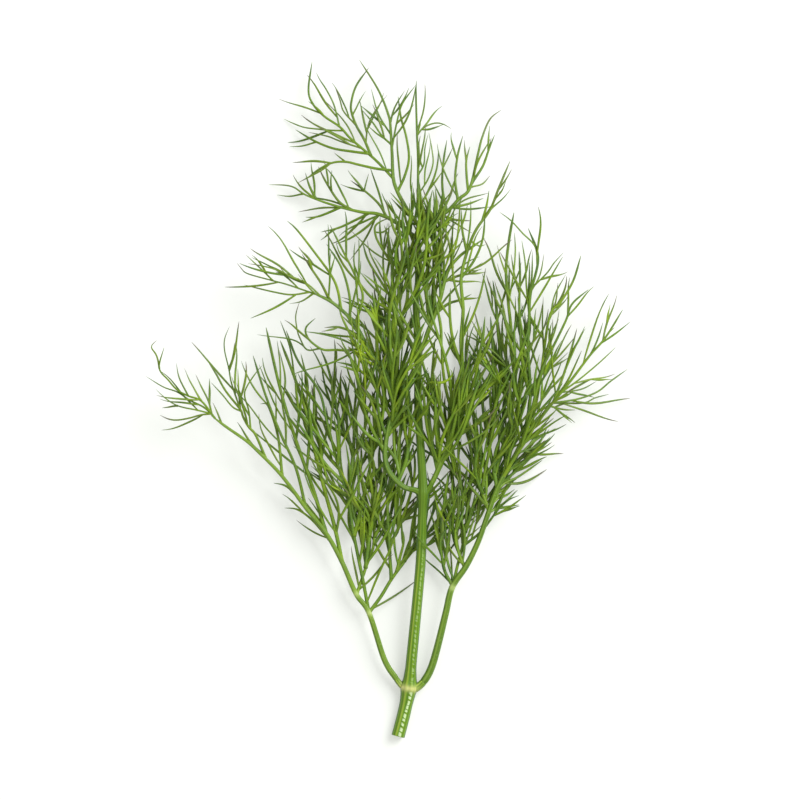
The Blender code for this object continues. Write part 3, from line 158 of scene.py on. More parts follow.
# Each spray: the route of its shoot from the stalk outwards as (x, y, z), the shoot's radius at
# root and tip, its twigs and its blades. A twig is (height of its tip, longest leaflet, route),
# a blade is (height of its tip, route). Both grow from the nearest part of the spray that is
# already there.
SPRAYS = {
    "spray_low_left": dict(
        shoot=[(2.0, -72, 1.9), (0.5, -71.5, 2.0), (-1.2, -69.4, 2.3), (-4, -64.75, 2.8),
               (-7.75, -53.25, 3.8), (-11, -48.5, 4.2), (-14.5, -40.5, 4.8), (-18.5, -33.25, 5.4),
               (-23.5, -27, 6.4), (-27.5, -21.5, 7.6), (-30.75, -17.5, 8.6), (-35.25, -13, 9.8),
               (-38.25, -10.25, 10.6), (-43.25, -6.75, 11.6), (-47.25, -3.75, 12.2)],
        radii=(1.15, 0.5),
        twigs=[
            (6.0, 9, [(-7.75, -53.25), (-9.25, -45.25), (-11.5, -34), (-13, -25), (-15.5, -16.25),
                      (-18.25, -5.5), (-20.25, 2.25), (-25.5, 9.75), (-28.5, 17.5)]),
            (4.5, 9, [(-14.5, -40.5), (-16.3, -32), (-19, -22), (-21.5, -12), (-23.5, -3), (-26.5, 6),
                      (-30, 15)]),
            (5.5, 9, [(-18.5, -33.25), (-21.5, -23), (-25, -13), (-28, -4), (-30.5, 5), (-33.5, 18.25)]),
            (8.0, 9, [(-23.5, -27), (-26, -17), (-30, -8), (-33.5, 1), (-36.75, 11.25)]),
            (9.0, 8, [(-33.25, -14.5), (-36, -8.75), (-37.75, -6.75), (-39.25, -4), (-39.75, -2.5),
                      (-43.5, 2.25), (-45.75, 6.25), (-47.75, 9.25)]),
            (2.2, 8, [(-11.5, -34), (-9.5, -26), (-7.5, -17), (-6, -9), (-5.5, -3)]),
            (1.8, 8, [(-13, -25), (-12, -16), (-11.5, -7), (-13, 1), (-15, 6)]),
            (3.2, 8, [(-15.5, -16.25), (-15.2, -8), (-16, -1), (-18, 8), (-20, 13)]),
            (1.2, 8, [(-11, -48.5), (-9.6, -45), (-8.5, -41.75), (-6.75, -37), (-6, -33.25),
                      (-1.75, -28.25)]),
            (1.0, 7, [(-7.75, -53.25), (-4.85, -49.25), (-2.25, -45), (0.5, -41.25), (3.25, -37.75),
                      (7.5, -36), (9.75, -34.25), (12, -31.75), (18.25, -28)]),
            (1.2, 7, [(-2.25, -45), (-2.5, -36.5), (-0.5, -32.5), (-1.25, -28.25), (-0.25, -25.5)]),
            (1.0, 6, [(-17, -36), (-21.5, -30.5), (-25.5, -27.5), (-29, -27)]),
            (3.0, 7, [(-25.5, -24), (-28.5, -21.5), (-31.75, -20.75)]),
            (5.0, 7, [(-29, -19), (-30.5, -9), (-33, -1.5), (-35, -1)]),
            (1.0, 8, [(-8.6, -42), (-7.4, -33), (-5, -25), (-3.6, -17), (-3.8, -10)]),
        ],
        blades=[
            (13.5, [(-46.75, -3), (-49.5, -0.25), (-52.75, 1), (-55.5, 2.5), (-57.75, 5), (-60, 8),
                    (-58.75, 13.25)]),
            (12.0, [(-60, 8), (-60.75, 11.25), (-62, 13.25), (-60.5, 15)]),
            (13.0, [(-49, 0.25), (-51.25, 2.75), (-52.5, 5), (-53.75, 8)]),
            (14.0, [(-53, 1), (-55, 5.5), (-55.75, 9.25)]),
            (11.0, [(-46.75, -3), (-47.75, -0.25), (-49.75, 3.75), (-51, 6.5)]),
            (10.5, [(-47.25, -3.5), (-50.75, -2.5), (-55.25, -1.5), (-58.25, 0.25), (-61, 2.75)]),
            (9.0, [(-55.25, -1.5), (-57.3, -1.7), (-59.5, -2)]),
            (9.5, [(-47.25, -3.75), (-49.75, -3.75), (-52.5, -4.5), (-55.5, -5), (-57.75, -4.75),
                   (-60, -3.75)]),
            (12.5, [(-47, -3.5), (-49, -1.75), (-52.5, 0), (-55.5, 2), (-59, 3.25), (-63.5, 6)]),
            (11.5, [(-44.25, -5.8), (-45.6, -3), (-46.75, -0.5)]),
            (11.0, [(-39.75, -3), (-41.75, -1.75), (-44.25, 1.25), (-47.25, 4.5)]),
            (10.0, [(-39.75, -2.5), (-42, 4), (-42.75, 8), (-43.75, 12.25), (-43.75, 15.25),
                    (-42.5, 18.5)]),
            (8.5, [(-42.75, 8), (-41.75, 10.5), (-41.25, 14.5)]),
            (8.0, [(-39.75, -2.5), (-40.25, 2), (-40.5, 8)]),
            (8.0, [(-36.75, -7), (-37.75, -2.5), (-38.75, 0.75), (-38.4, 3), (-36, 6.75), (-34.25, 8.75)]),
            (4.0, [(-29.3, 3), (-30, 9), (-30.75, 15)]),
            (3.5, [(-26, 6), (-27.5, 13), (-30, 20)]),
        ]),
    "spray_low_right": dict(
        shoot=[(2.6, -72, 1.9), (4.25, -71.9, 2.0), (6.25, -70, 2.3), (8, -66.5, 2.6),
               (9.75, -60.25, 3.2), (11.5, -53, 3.8), (13, -46.9, 4.2), (16.25, -42, 4.7),
               (18.25, -38.25, 5.0), (20, -34.25, 5.3), (22.25, -27.75, 5.9), (24.25, -22.25, 6.3),
               (27.75, -15.5, 6.9), (30.75, -10.5, 7.3), (34.5, -5.25, 7.8), (38.25, -0.5, 8.2),
               (40.5, 1.75, 8.4)],
        radii=(1.15, 0.5),
        twigs=[
            (6.5, 9, [(26.25, -18.5), (27.5, -9), (28.25, 0), (28.75, 4.75), (27.75, 12.25),
                      (27.75, 17.5), (27, 25), (26.5, 32.5), (27.25, 40), (28.5, 47)]),
            (7.5, 9, [(30.75, -11.5), (32.5, 0), (32, 12.25), (32.25, 20), (32.6, 26.5), (34.5, 35.5),
                      (32, 43)]),
            (7.0, 9, [(32.5, -8), (35, 5), (37.25, 20.5), (40, 24.25), (43.25, 29.75), (45.25, 36.25)]),
            (3.0, 8, [(13, -46.75), (11.1, -42.5), (10.4, -38.25), (10.25, -33.5), (10.2, -28)]),
            (3.0, 8, [(13.5, -46.25), (14.25, -42), (15.4, -37.5), (16.5, -32.5), (18, -28), (19.5, -23)]),
            (2.6, 8, [(16.25, -42), (14.75, -38.25), (13.4, -34.25), (12.6, -27), (12.5, -22)]),
            (3.6, 9, [(18, -29), (15.6, -22), (13.4, -14), (12.4, -6), (12.2, 1)]),
            (3.8, 9, [(22.25, -28), (19.5, -20), (17.4, -11), (16.6, -3), (16.6, 4)]),
            (4.5, 9, [(24.25, -22), (22.6, -13), (21, -4), (20, 5), (18.5, 12)]),
            (5.0, 9, [(27, -14), (24.2, -5), (23.2, 4), (23.2, 13), (22.6, 21)]),
            (5.0, 8, [(28.3, 0), (25.8, 8), (24.6, 16), (24, 24), (23.2, 30)]),
            (6.0, 8, [(32.3, 9), (30.2, 16), (29.8, 24), (30, 31), (29.75, 37.25)]),
            (6.0, 8, [(35.5, 8), (38.6, 14), (41.5, 20), (43, 24), (47.25, 27.75)]),
            (6.5, 8, [(38.25, -0.5), (41.25, 7.5), (42.75, 12.5), (44.25, 18)]),
            (7.0, 8, [(38.25, -0.5), (42.8, 5), (47.5, 11.25), (51.25, 15.5), (55.75, 22.75)]),
        ],
        blades=[
            (5.5, [(40.5, 1.75), (45, 5.3), (50, 9.5), (54, 13.25)]),
            (4.0, [(51.25, 15.5), (52.4, 17), (53.75, 18.2)]),
            (6.0, [(47.5, 11.25), (49.5, 15.5), (50.75, 19.5)]),
            (7.5, [(41.25, 7.5), (44, 13.75), (46.25, 18.5)]),
            (4.0, [(40.5, 1.75), (45.5, 2.75), (49.25, 4.75)]),
            (2.0, [(38.25, -0.75), (44.25, 0.2), (49.25, 2), (52.75, 4.75), (57, 7.75)]),
            (0.0, [(38, -1), (45.75, -0.75), (48.75, 0.5), (52.5, 1.5)]),
            (1.0, [(37.5, -1.5), (41, -2.4), (44, -2.5)]),
            (0.0, [(29.5, -13.6), (34.25, -11.5), (36.25, -8), (37, -6.75)]),
            (0.0, [(23.6, -22.5), (26.5, -20.6), (29.5, -19.25), (35.75, -15)]),
            (3.0, [(27.2, -17.5), (29.4, -16.6), (31.5, -14.25)]),
            (1.0, [(23.2, -26), (26, -23), (28.75, -20)]),
            (0.0, [(22.6, -28.25), (26, -25.8), (29.5, -22.5)]),
            (4.5, [(16.5, -35.25), (18.25, -33.25), (20.75, -31)]),
            (6.5, [(28.75, 4.75), (25.5, 10), (20.75, 14), (15.5, 16.75)]),
            (8.5, [(34.6, 33.5), (33.75, 38.25), (30.5, 41.75), (27.75, 44.75), (24.75, 47)]),
            (6.0, [(33.2, 28), (36.75, 31.75), (38.5, 34.25), (41, 37)]),
            (4.0, [(10.6, -39), (9, -35.25), (7.9, -31.5)]),
            (7.5, [(26.6, 31), (25.2, 35), (24.25, 38.75)]),
            (4.5, [(37, 20), (39, 25), (39.5, 29.5)]),
            (6.5, [(27, 24), (28.3, 31), (28.8, 37), (28.6, 42)]),
            (7.0, [(32.4, 21), (31.6, 28), (31.3, 34), (30.4, 40)]),
            (7.5, [(32.7, 27), (35, 31.4), (36, 36.6)]),
            (5.5, [(35.8, 12), (35.6, 19), (35.8, 26)]),
            (5.0, [(37.2, 20), (38.6, 26), (41.5, 31.5)]),
        ]),
    "spray_second_left": dict(
        shoot=[(5.5, -23.6, 6.3), (4, -22.6, 6.6), (1, -21.75, 6.9), (-1.75, -19.25, 7.1),
               (-3.25, -16.75, 7.3), (-3.75, -13.5, 7.5), (-3.4, -9.5, 7.6), (-2.75, -6.25, 7.8),
               (-1.75, -2.5, 8.0), (-2.25, 2.5, 8.4), (-3, 5.5, 8.7), (-4.25, 8.25, 9.1),
               (-6.75, 10.75, 9.6), (-9, 15, 10.2), (-11.25, 19, 10.8), (-14.6, 22.5, 11.2),
               (-18, 25, 11.6), (-22.5, 27, 11.8)],
        radii=(0.85, 0.48),
        twigs=[
            (11.0, 8, [(-9.2, 12.9), (-12.5, 12.4), (-15.75, 12.5), (-19, 12.5), (-21.25, 13.75),
                       (-23, 15.5), (-23.5, 18), (-21, 20.5)]),
            (11.0, 8, [(-11.25, 19), (-9.3, 25.75), (-11.25, 31.25), (-13.5, 35.75), (-17.5, 43.75)]),
            (11.0, 8, [(-14.75, 22.6), (-15.6, 27.5), (-17.25, 31.25), (-21.25, 36.75), (-25.75, 42.5),
                       (-28.25, 44.75)]),
            (10.0, 8, [(-3.75, -13), (-6.6, -8), (-9, -2), (-10.5, 4), (-11.5, 9)]),
            (12.0, 8, [(-2.3, -4.5), (-5, 1), (-7.8, 5.5), (-12, 8.5), (-16, 9.5)]),
            (10.5, 8, [(-3.4, -9), (-1.2, -4), (0.6, 2), (1.4, 8)]),
            (11.5, 8, [(-2.2, 2.5), (-0.8, 8), (-0.4, 14), (-0.8, 19)]),
            (12.0, 8, [(-5.5, 9.6), (-5.8, 15), (-6, 21), (-7, 27)]),
            (12.5, 7, [(-9, 15), (-12, 17), (-15.5, 18.2), (-19, 18)]),
            (11.5, 7, [(-17.6, 24.8), (-19.6, 29), (-22, 32.6), (-24.5, 36.5)]),
            (7.0, 8, [(-0.4, -20.6), (1.6, -15), (2.4, -8), (2.4, -1), (1.8, 5)]),
            (11.0, 7, [(-12.6, 20.4), (-12.6, 26), (-14.6, 33), (-18.4, 39)]),
        ],
        blades=[
            (12.0, [(-22.5, 27), (-28, 28.75), (-31.75, 29.75), (-38, 31.5), (-39.5, 32.75),
                    (-40.75, 34.25)]),
            (13.5, [(-31.5, 30), (-35, 33), (-38.5, 36.25)]),
            (14.0, [(-19.5, 25.9), (-23, 28.8), (-27, 30.8), (-31, 32.5), (-34.75, 33.5), (-38, 34)]),
            (10.0, [(-22.5, 26.9), (-27, 26.25), (-31.75, 27), (-39, 28.75)]),
            (15.0, [(-25.5, 29.6), (-28.4, 31.4), (-30.25, 33.6)]),
            (13.5, [(-21, 26.4), (-23.4, 28.8), (-25.5, 31.5)]),
            (13.0, [(-16.5, 24), (-18.3, 26.5), (-19.8, 29.4)]),
            (9.5, [(-21.5, 26.4), (-24.6, 24.6), (-27.75, 24)]),
            (9.0, [(-19.5, 12.4), (-23, 12.6), (-25, 15.5), (-25.75, 18), (-26, 21.25), (-25, 24.75)]),
            (10.5, [(-13, 34), (-15, 36.6), (-16, 39.5)]),
            (12.5, [(-10.4, 29), (-10.2, 35), (-10.25, 40.75)]),
        ]),
    "spray_second_right": dict(
        shoot=[(6.0, -23.6, 6.3), (7.6, -21.4, 6.6), (10, -16.25, 7.0), (13, -7.5, 7.6), (14.75, 0, 8.2),
               (15.5, 7.5, 8.8), (15.25, 15, 9.2), (15.75, 22.5, 9.6), (15.25, 30.25, 9.8),
               (16.75, 37, 9.8), (19, 42.5, 9.8), (22.5, 47.5, 9.6), (24.5, 52.5, 9.2), (27.5, 59.75, 8.6)],
        radii=(0.85, 0.42),
        twigs=[
            (9.5, 8, [(9.6, -17), (9.2, -9), (8.8, -1), (8.2, 7)]),
            (10.0, 8, [(11.6, -12), (15.6, -6), (18.6, 1), (19.6, 8)]),
            (10.5, 8, [(13.6, -5), (11.6, 2), (10.6, 9), (10.4, 16)]),
            (10.5, 8, [(14.75, 0), (18.2, 7), (20.4, 14), (21.2, 21)]),
            (10.5, 8, [(15.5, 8), (13.2, 15), (12.4, 22), (12.6, 28)]),
            (10.0, 8, [(15.3, 15), (18.2, 21), (20.2, 27), (21.4, 33)]),
            (11.0, 8, [(15.7, 22.5), (13.6, 29), (13, 35), (13.2, 41)]),
            (10.0, 8, [(15.3, 30.25), (18.6, 35), (20.6, 40), (21.25, 46.25)]),
            (10.5, 7, [(16.75, 37), (15.6, 42), (15.2, 48)]),
            (9.5, 7, [(20.5, 44.8), (21.6, 48.5), (22.25, 52.5)]),
            (7.0, 8, [(9.4, -17.6), (8.4, -13), (7.4, -6), (7, 1), (7, 7)]),
        ],
        blades=[
            (9.5, [(24.5, 52.5), (26.4, 55), (28, 57.75)]),
            (8.5, [(22.5, 47.5), (25.6, 50.2), (27.75, 52.8)]),
            (11.0, [(23.6, 50), (25.4, 52.2), (26.5, 54.8)]),
            (9.0, [(15.6, 33), (18.2, 32.2), (20.6, 32.75)]),
            (9.5, [(17.6, 39.5), (19.8, 38.4), (21.5, 38.9)]),
        ]),
    "spray_third_left": dict(
        shoot=[(4.4, 12, 7.5), (3.0, 13.6, 8.0), (1.25, 16.75, 8.6), (-0.75, 20.75, 9.0),
               (-1.75, 23.75, 9.1), (-2, 27.5, 9.0), (-1.75, 32, 8.8), (-2.25, 36, 8.6),
               (-3, 40.75, 8.4), (-4, 43.75, 8.2)],
        radii=(0.68, 0.42),
        twigs=[
            (8.0, 8, [(0.75, 17.6), (-3, 22), (-5.4, 27), (-7, 33)]),
            (9.0, 8, [(-0.2, 19.6), (1.6, 24), (2, 29), (1.8, 34)]),
            (7.5, 8, [(-1.8, 25), (-5, 30), (-8, 35), (-9.5, 40)]),
            (8.5, 7, [(-1.8, 31), (0.8, 35.4), (3, 38.6)]),
            (7.0, 7, [(-2.1, 34), (-4.75, 38.25), (-6, 40.75), (-6.25, 43.25), (-4.75, 44.6),
                      (-2.5, 45.4)]),
            (6.5, 7, [(-1.2, 21.8), (-6, 24.6), (-10, 29), (-12.5, 34)]),
        ],
        blades=[
            (9.5, [(-2.2, 36), (-0.75, 40), (0.5, 42), (1.2, 43.6)]),
        ]),
    "spray_third_right": dict(
        shoot=[(4.6, 12, 7.5), (5.9, 13.8, 8.0), (6.8, 16.5, 8.4), (7.75, 19, 8.7), (9.25, 22.75, 9.0),
               (10.25, 26, 9.0), (11.25, 30, 8.8), (12.4, 33, 8.6), (15, 36, 8.2), (18, 38.2, 7.6),
               (21.25, 40.5, 7.0)],
        radii=(0.68, 0.42),
        twigs=[
            (7.5, 8, [(7.5, 18.6), (6.9, 23), (6.8, 28), (7, 33)]),
            (7.0, 8, [(8.8, 21.6), (12, 24), (15, 25), (18, 26.5)]),
            (7.5, 8, [(10.25, 26), (10.1, 30), (10.3, 35), (10.75, 39.75)]),
            (6.5, 7, [(11.2, 29.6), (14.5, 31), (17.5, 31.6), (20.25, 32.75)]),
            (7.0, 7, [(8, 19.6), (8.6, 25), (8.4, 31), (8.2, 37)]),
        ],
        blades=[
            (7.0, [(12.6, 33.2), (12.8, 37), (12.6, 41)]),
        ]),
    "spray_fourth_left": dict(
        shoot=[(4.6, 40.6, 6.9), (3.2, 41.1, 7.0), (1.2, 42.9, 7.0), (-1.2, 44.5, 6.8),
               (-3.2, 45.6, 6.6), (-6, 46.6, 6.2), (-9.75, 47, 5.6), (-16.75, 48.75, 4.4),
               (-23.5, 51.25, 3.2), (-27.25, 53.5, 2.4), (-33, 54, 0.0)],
        radii=(0.62, 0.40),
        twigs=[
            (4.5, 7, [(-3.4, 45.7), (-4.75, 48.25), (-6.75, 50.5), (-9.75, 53), (-12.5, 55)]),
            (4.0, 7, [(-12, 47.5), (-15.25, 49.6), (-18.5, 54.5), (-20.5, 58.5)]),
            (3.0, 7, [(-7.5, 46.8), (-11.5, 44.8), (-15.5, 43), (-19.9, 42)]),
            (2.0, 7, [(-15, 48.2), (-18, 46.8), (-21, 45.8), (-23.75, 45.75)]),
            (2.5, 6, [(-21, 50.2), (-22.6, 53.4), (-23.75, 57)]),
            (5.0, 7, [(-5, 46.3), (-8.6, 43), (-12.5, 40.4), (-16, 39)]),
        ],
        blades=[
            (5.0, [(-9, 52.3), (-8.4, 54.6), (-7.75, 56.75)]),
            (6.5, [(-17.2, 52.5), (-17.3, 55), (-17, 57.5)]),
            (0.0, [(-24, 51.4), (-27.5, 51), (-31, 51.4)]),
        ]),
    "spray_fourth_right": dict(
        shoot=[(4.9, 40.6, 6.9), (6.2, 41.2, 7.0), (7.9, 43.2, 7.0), (10, 45.75, 6.8),
               (12.25, 47.5, 6.5), (14.75, 50.25, 6.2), (17.5, 53, 5.8), (19.5, 61.5, 4.6),
               (20.5, 65.5, 4.0), (22.5, 70.25, 3.0), (25.5, 72.75, 2.2)],
        radii=(0.62, 0.40),
        twigs=[
            (3.5, 7, [(18, 54), (20.6, 58.25), (22.25, 62.75), (23.75, 66.5)]),
            (4.0, 7, [(16.8, 52.2), (16.6, 57), (16.6, 60), (17.5, 63.5)]),
            (3.5, 7, [(14.4, 50), (13.8, 55), (14.4, 61), (15.75, 66.25)]),
            (3.0, 7, [(11.5, 47), (10.6, 53), (10.8, 59), (11.75, 65.25)]),
            (5.0, 7, [(8.8, 44.8), (9.2, 49), (8.8, 53)]),
            (4.5, 7, [(12.8, 48), (17, 49), (21, 50.5)]),
            (5.0, 7, [(10.5, 46.1), (14, 45), (18, 44.8)]),
        ],
        blades=[
            (1.5, [(20.8, 59), (22, 62), (22.9, 65.8)]),
            (0.0, [(17.6, 53.2), (20.5, 54), (22.6, 56.25)]),
            (5.5, [(9.6, 45.5), (12.4, 43.6), (15, 42)]),
            (2.0, [(10.8, 58), (12.2, 61), (13.4, 63.6)]),
        ]),
    "spray_tip": dict(
        shoot=[(4.75, 42.3, 6.9), (4.7, 43.2, 7.0), (3.9, 44.6, 7.4), (2.5, 46.4, 7.8), (1, 48.9, 8.0),
               (-0.75, 52.25, 8.0), (-1.7, 55.5, 7.9), (-2, 61.75, 7.4), (-2.4, 68.5, 6.4),
               (-2.75, 70.75, 6.0), (-4.25, 75, 5.0), (-6.25, 79, 4.0), (-10.25, 85.25, 2.0)],
        radii=(0.66, 0.38),
        twigs=[
            (2.0, 8, [(-1.7, 55.3), (-5.75, 59.75), (-9, 62.5), (-12.5, 65.5), (-15, 68.25), (-19, 71),
                      (-21.75, 74), (-22.9, 77.5), (-22, 84.75)]),
            (2.5, 8, [(-6.9, 60.9), (-9, 65.25), (-10.75, 68.25), (-12, 71.5), (-12.25, 74), (-11, 78.5),
                      (-7.75, 83.25)]),
            (4.0, 7, [(-2.0, 57.4), (-5.8, 57.8), (-10.25, 58.75), (-13.5, 59.5), (-17, 59.25),
                      (-20.5, 57.5), (-23.75, 55)]),
            (1.5, 7, [(-8, 61.7), (-12, 62.1), (-17, 63), (-21.75, 65), (-26.25, 67.75)]),
            (5.0, 8, [(3.6, 45), (4.25, 49.25), (4.5, 55), (4.5, 60.5), (4.25, 66.5), (4, 76), (4.1, 80)]),
            (6.0, 7, [(-0.6, 52), (1.2, 56), (2.25, 60.5), (1.5, 66), (0.25, 70.5), (-0.5, 76)]),
        ],
        blades=[
            (3.5, [(-15, 68.25), (-16.5, 73.75), (-18.5, 77.75), (-20, 80), (-21, 82)]),
            (0.0, [(-14, 67.2), (-17.2, 67.4), (-20.25, 67.75), (-24, 68.25), (-27.25, 69.5),
                   (-29.25, 70.5)]),
            (2.0, [(-11.8, 71.2), (-10, 75), (-8.5, 77.5)]),
            (4.5, [(-10.75, 68.25), (-14, 72), (-15, 75), (-16.25, 78.25)]),
            (4.5, [(-8.5, 64), (-8.3, 66.6), (-7.6, 69.75), (-5.75, 73), (-3, 76.5)]),
            (3.5, [(-9.5, 62.9), (-14.75, 64.6), (-18, 65.9), (-23, 67)]),
            (0.0, [(-21, 64.6), (-24.5, 63.6), (-27.75, 63.5)]),
            (5.5, [(-13.4, 59.6), (-15, 60.6), (-16.5, 61.8)]),
            (5.0, [(-2.4, 69), (-1.25, 73.25), (1.25, 77.5)]),
            (6.0, [(-2.2, 64), (-4.5, 66), (-6.75, 69.25), (-9.75, 72.75)]),
            (4.5, [(-2.3, 66.5), (-5.4, 71.5), (-7.25, 78)]),
            (7.5, [(-2.1, 63), (-0.75, 69.5), (0.6, 74), (4, 78.75)]),
            (7.0, [(-0.9, 69), (1.5, 71.25), (3.6, 74)]),
            (4.5, [(4.5, 56), (6, 59), (6.2, 62.75), (7, 66.5)]),
            (4.0, [(4.4, 51), (6.9, 55), (8.25, 59), (8, 62.5), (7.2, 67)]),
            (3.5, [(4.3, 66), (5.8, 68), (8.5, 69.2), (10.75, 69), (13, 67.75)]),
            (4.0, [(4.3, 66.5), (5, 68.6), (5.25, 70.5)]),
        ]),
}

# The finest threads: forks of the longer leaflets
SHORTEST_EXTRA = 2.4
EXTRA_RADIUS, FORK_TIP = 0.27, 0.08
FORKING_LENGTH, TWICE_FORKING_LENGTH = 8.0, 16.0   # leaflets from these lengths on fork once or twice
FORK_CHANCE, FORK_CHANCE_INSIDE = 0.12, 0.6   # the least anywhere, and what fullness adds
FORK_ROOTS, FORK_LENGTHS = (0.18, 0.5), (0.6, 0.95)   # as shares of the leaflet and of its rest
FORK_ROLL, FORK_ANGLES, FORK_ONWARD, FORK_SWAY = 1.4, (0.17, 0.34), (-0.5, 0.9), 0.03
FORK_TRIES, FORK_ROOT_ROOM = 5, 1.5

# Drawing
# Which of a piece's two finishes a face takes
LEAF_FINISH, SHOOT_FINISH = 0, 1   # on a spray
SKIN_FINISH, CUT_FINISH = 0, 1     # on the stalk
FINE_STEP = 0.25
ROOT_FADE = 0.4            # share of a branch over which its root is carried onto its parent
LEAD_LENGTH = 1.6          # how far a shoot's root runs on inside the stalk's stub
LOWEST = 0.02              # nothing is drawn below this height

LEAFLET_WIDTH, FINE_WIDTH, BLADE_WIDTH = 0.35, 0.33, 0.36   # half widths of the drawn threads
TWIG_WIDTH, FILLER_WIDTH = (0.52, 0.34), (0.46, 0.32)       # the same at their roots and tips
LEAFLET_SPREAD, BLADE_SPREAD = (0.82, 1.15), (0.9, 1.12)    # slimmest and widest of their kind
LEAFLET_SLIM, LEAFLET_SWELL, LEAFLET_SWELL_PLACE = 0.8, 0.35, 1.3   # slim at its ends, fuller between
BLADE_TAPER = 0.3
EDGE_WIDTH = 0.68          # share of its width that a thread outside the full parts keeps
FLARE, FLARE_LENGTH = 0.12, 1.0   # how much wider a thread starts, and over what length
POINT_LENGTH = {"leaflet": 3.0, "blade": 3.6, "twig": 3.6, "filler": 4.0, "shoot": 4.0}
POINT_SHARE, POINT_POWER = 0.5, 0.6   # no point takes more of a thread, and how blunt it is
RING_STEP = {"leaflet": 0.6, "blade": 0.6, "twig": 0.6, "filler": 0.65, "shoot": 0.5}
RINGS_AT_LEAST = 8
RING_CROWDING = 1.15       # power that sets rings nearer each other towards the tip
FLATNESS = {"leaflet": 0.66, "blade": 0.68, "twig": 0.8, "filler": 0.72, "shoot": 0.9}
# Powers that keep dry tips few: the least anywhere, and what is added in the full parts
WITHER_OUTSIDE, WITHER_INSIDE = 1.1, 1.6
WITHER_LENGTH = 13.0       # longer branches dry at a smaller share of their tips
DRAWN_ROLL = 0.45          # most that a thread's channel leans to one side, in radians
TWIST = 1.3                # most that a leaflet turns about itself
CHANNEL_WIDTH = 0.5        # in radians round the thread
LEAD_SLIM, LEAD_GROWTH = 0.55, 0.5   # how slim a shoot starts inside its stub, and how it widens
# How slim each spray's shoot is drawn at its root and at its tip, as a share of its solid
SHOOT_SLIMNESS = {
    "spray_low_left": (0.66, 0.66), "spray_low_right": (0.86, 0.80),
    "spray_second_left": (0.85, 0.80), "spray_second_right": (0.80, 0.66),
    "spray_third_left": (0.92, 0.72), "spray_third_right": (0.92, 0.72),
    "spray_fourth_left": (0.92, 0.34), "spray_fourth_right": (0.90, 0.48), "spray_tip": (0.90, 0.52),
}
# How olive the tips of the shoots turn that end as bare threads
OLIVE_TIPS = {"spray_second_right": 0.5, "spray_fourth_left": 0.4, "spray_fourth_right": 0.9,
              "spray_tip": 0.35}

# Young leaflets that stand up from a shoot: x, y, length, and heading in degrees to the right of +Y
YOUNG_SPRAY = "spray_second_left"
YOUNG_LEAFLETS = [(-3.5, 8.6, 11, -58), (-4.5, 9.6, 9.5, -52), (-5.5, 10.2, 8.5, -64), (-6.5, 11.4, 9, -52),
                  (-7.2, 11.6, 7.5, -40), (-8.2, 12.4, 7, -64), (-9, 13.4, 7.5, -50), (-3.2, 8.8, 4.6, 20),
                  (-4.6, 9.4, 7, -40), (-6.2, 11.0, 6.5, -70)]
YOUNG_WIDTH, YOUNG_TONE, YOUNG_RISE, YOUNG_BEND = 0.38, 0.88, 2.6, 0.35
YOUNG_POINTS, YOUNG_ARCH = 12, 0.6   # the arch is how much of a half wave the rise takes
# Single threads that curl over the top of the sprig: spray, height and places that they pass
CURLS = [
    ("spray_second_right", 13.5,
     [(7.5, 4.5), (9.25, 4.25), (11, 4.5), (12.5, 5.5), (13, 6.75), (12.5, 7.75)]),
    ("spray_low_right", 13.5, [(17.5, -9), (17.75, -8.25), (18.5, -7.9), (19.5, -8.25), (19.75, -9.25)]),
    ("spray_second_right", 13.0, [(19.25, 0.75), (19, 1.5), (19.75, 2), (20.5, 1.75)]),
    ("spray_fourth_left", 12.5, [(-1, 42), (-0.75, 43.75), (0, 44.75), (1, 44.25), (1.25, 42.5)]),
    ("spray_fourth_right", 12.5, [(1.25, 44.5), (2.25, 43.5), (2.25, 42), (1, 40.75)]),
]
CURL_WIDTH, CURL_TONE, CURL_CLIMB = 0.34, 0.74, 0.5
# Young leaflets and curls are both slim at their ends, and neither has a dark tip
LONE_SLIM, LONE_SWELL, LONE_POINT, LONE_ALONG = 0.7, 0.3, 4.0, 0.5

# The stalk
STALK_RING_STEP = 0.35
STALK_SIDES, STALK_RIBS, STALK_RIB_DEPTH = 60, 10, 0.035
# How its swellings are softened: room past its ends, step, and reach and softness in steps
STALK_MARGIN, STALK_SOFT_STEP, STALK_SOFT_REACH, STALK_SOFTNESS = 3, 0.1, 12, 6.0
STALK_END_SLIM, STALK_END_SWELL, STALK_END_LENGTH = 0.55, 0.45, 1.6   # it narrows into the fourth joint
# Joints and forks: x, y and how pale each is, and how far the paleness reaches
STALK_JOINTS = [(2.25, -72.0, 1.0), (4.5, 12.25, 0.35), (4.7, 40.9, 0.2)]
PALE_FORKS = [(13.0, -46.75, 0.8), (-11.0, -48.5, 0.7), (-7.75, -53.25, 0.8)]
JOINT_REACH = 0.75
# The stubs: their width, how much wider they clasp the stalk, and lengths of the flare, of the pale
# foot and of the rounded end
STUB_WIDTH, STUB_FLARE, STUB_FLARE_LENGTH, STUB_PALE_LENGTH, STUB_END = 0.95, 0.45, 1.6, 2.1, 0.5
UPPER_START, UPPER_LENGTH = -45, 20   # from here on the stalk turns to its upper green
# Rings of the cut end, from the soft core outwards: share of the radius and depth inside the cut
CUT_RINGS = [(0.15, 0.50), (0.40, 0.46), (0.56, 0.36), (0.64, 0.08), (0.72, 0.0), (0.88, 0.0), (0.96, 0.05),
             (1.0, 0.16)]
# How strong the ladder of pale spots, painted glints, is at places along the stalk, as y
LADDER = [(-85.0, 0.85), (-73.5, 0.85), (-71.5, 0.0), (-69, 0.30), (-40, 0.22), (-33, 0.0)]

# A branch's green leans from blue-green, 0, to yellow-green, 1: its middle, what a millimetre above the
# middle height adds, and how far single branches stray. What height adds is painted light: lower
# threads take a darker blue-green, as painted shade under the threads above
TONE_MIDDLE, TONE_PAINTED_LIGHT_RISE, TONE_HEIGHT, TONE_SPREAD = 0.40, 0.012, 6, (-0.25, 0.22)
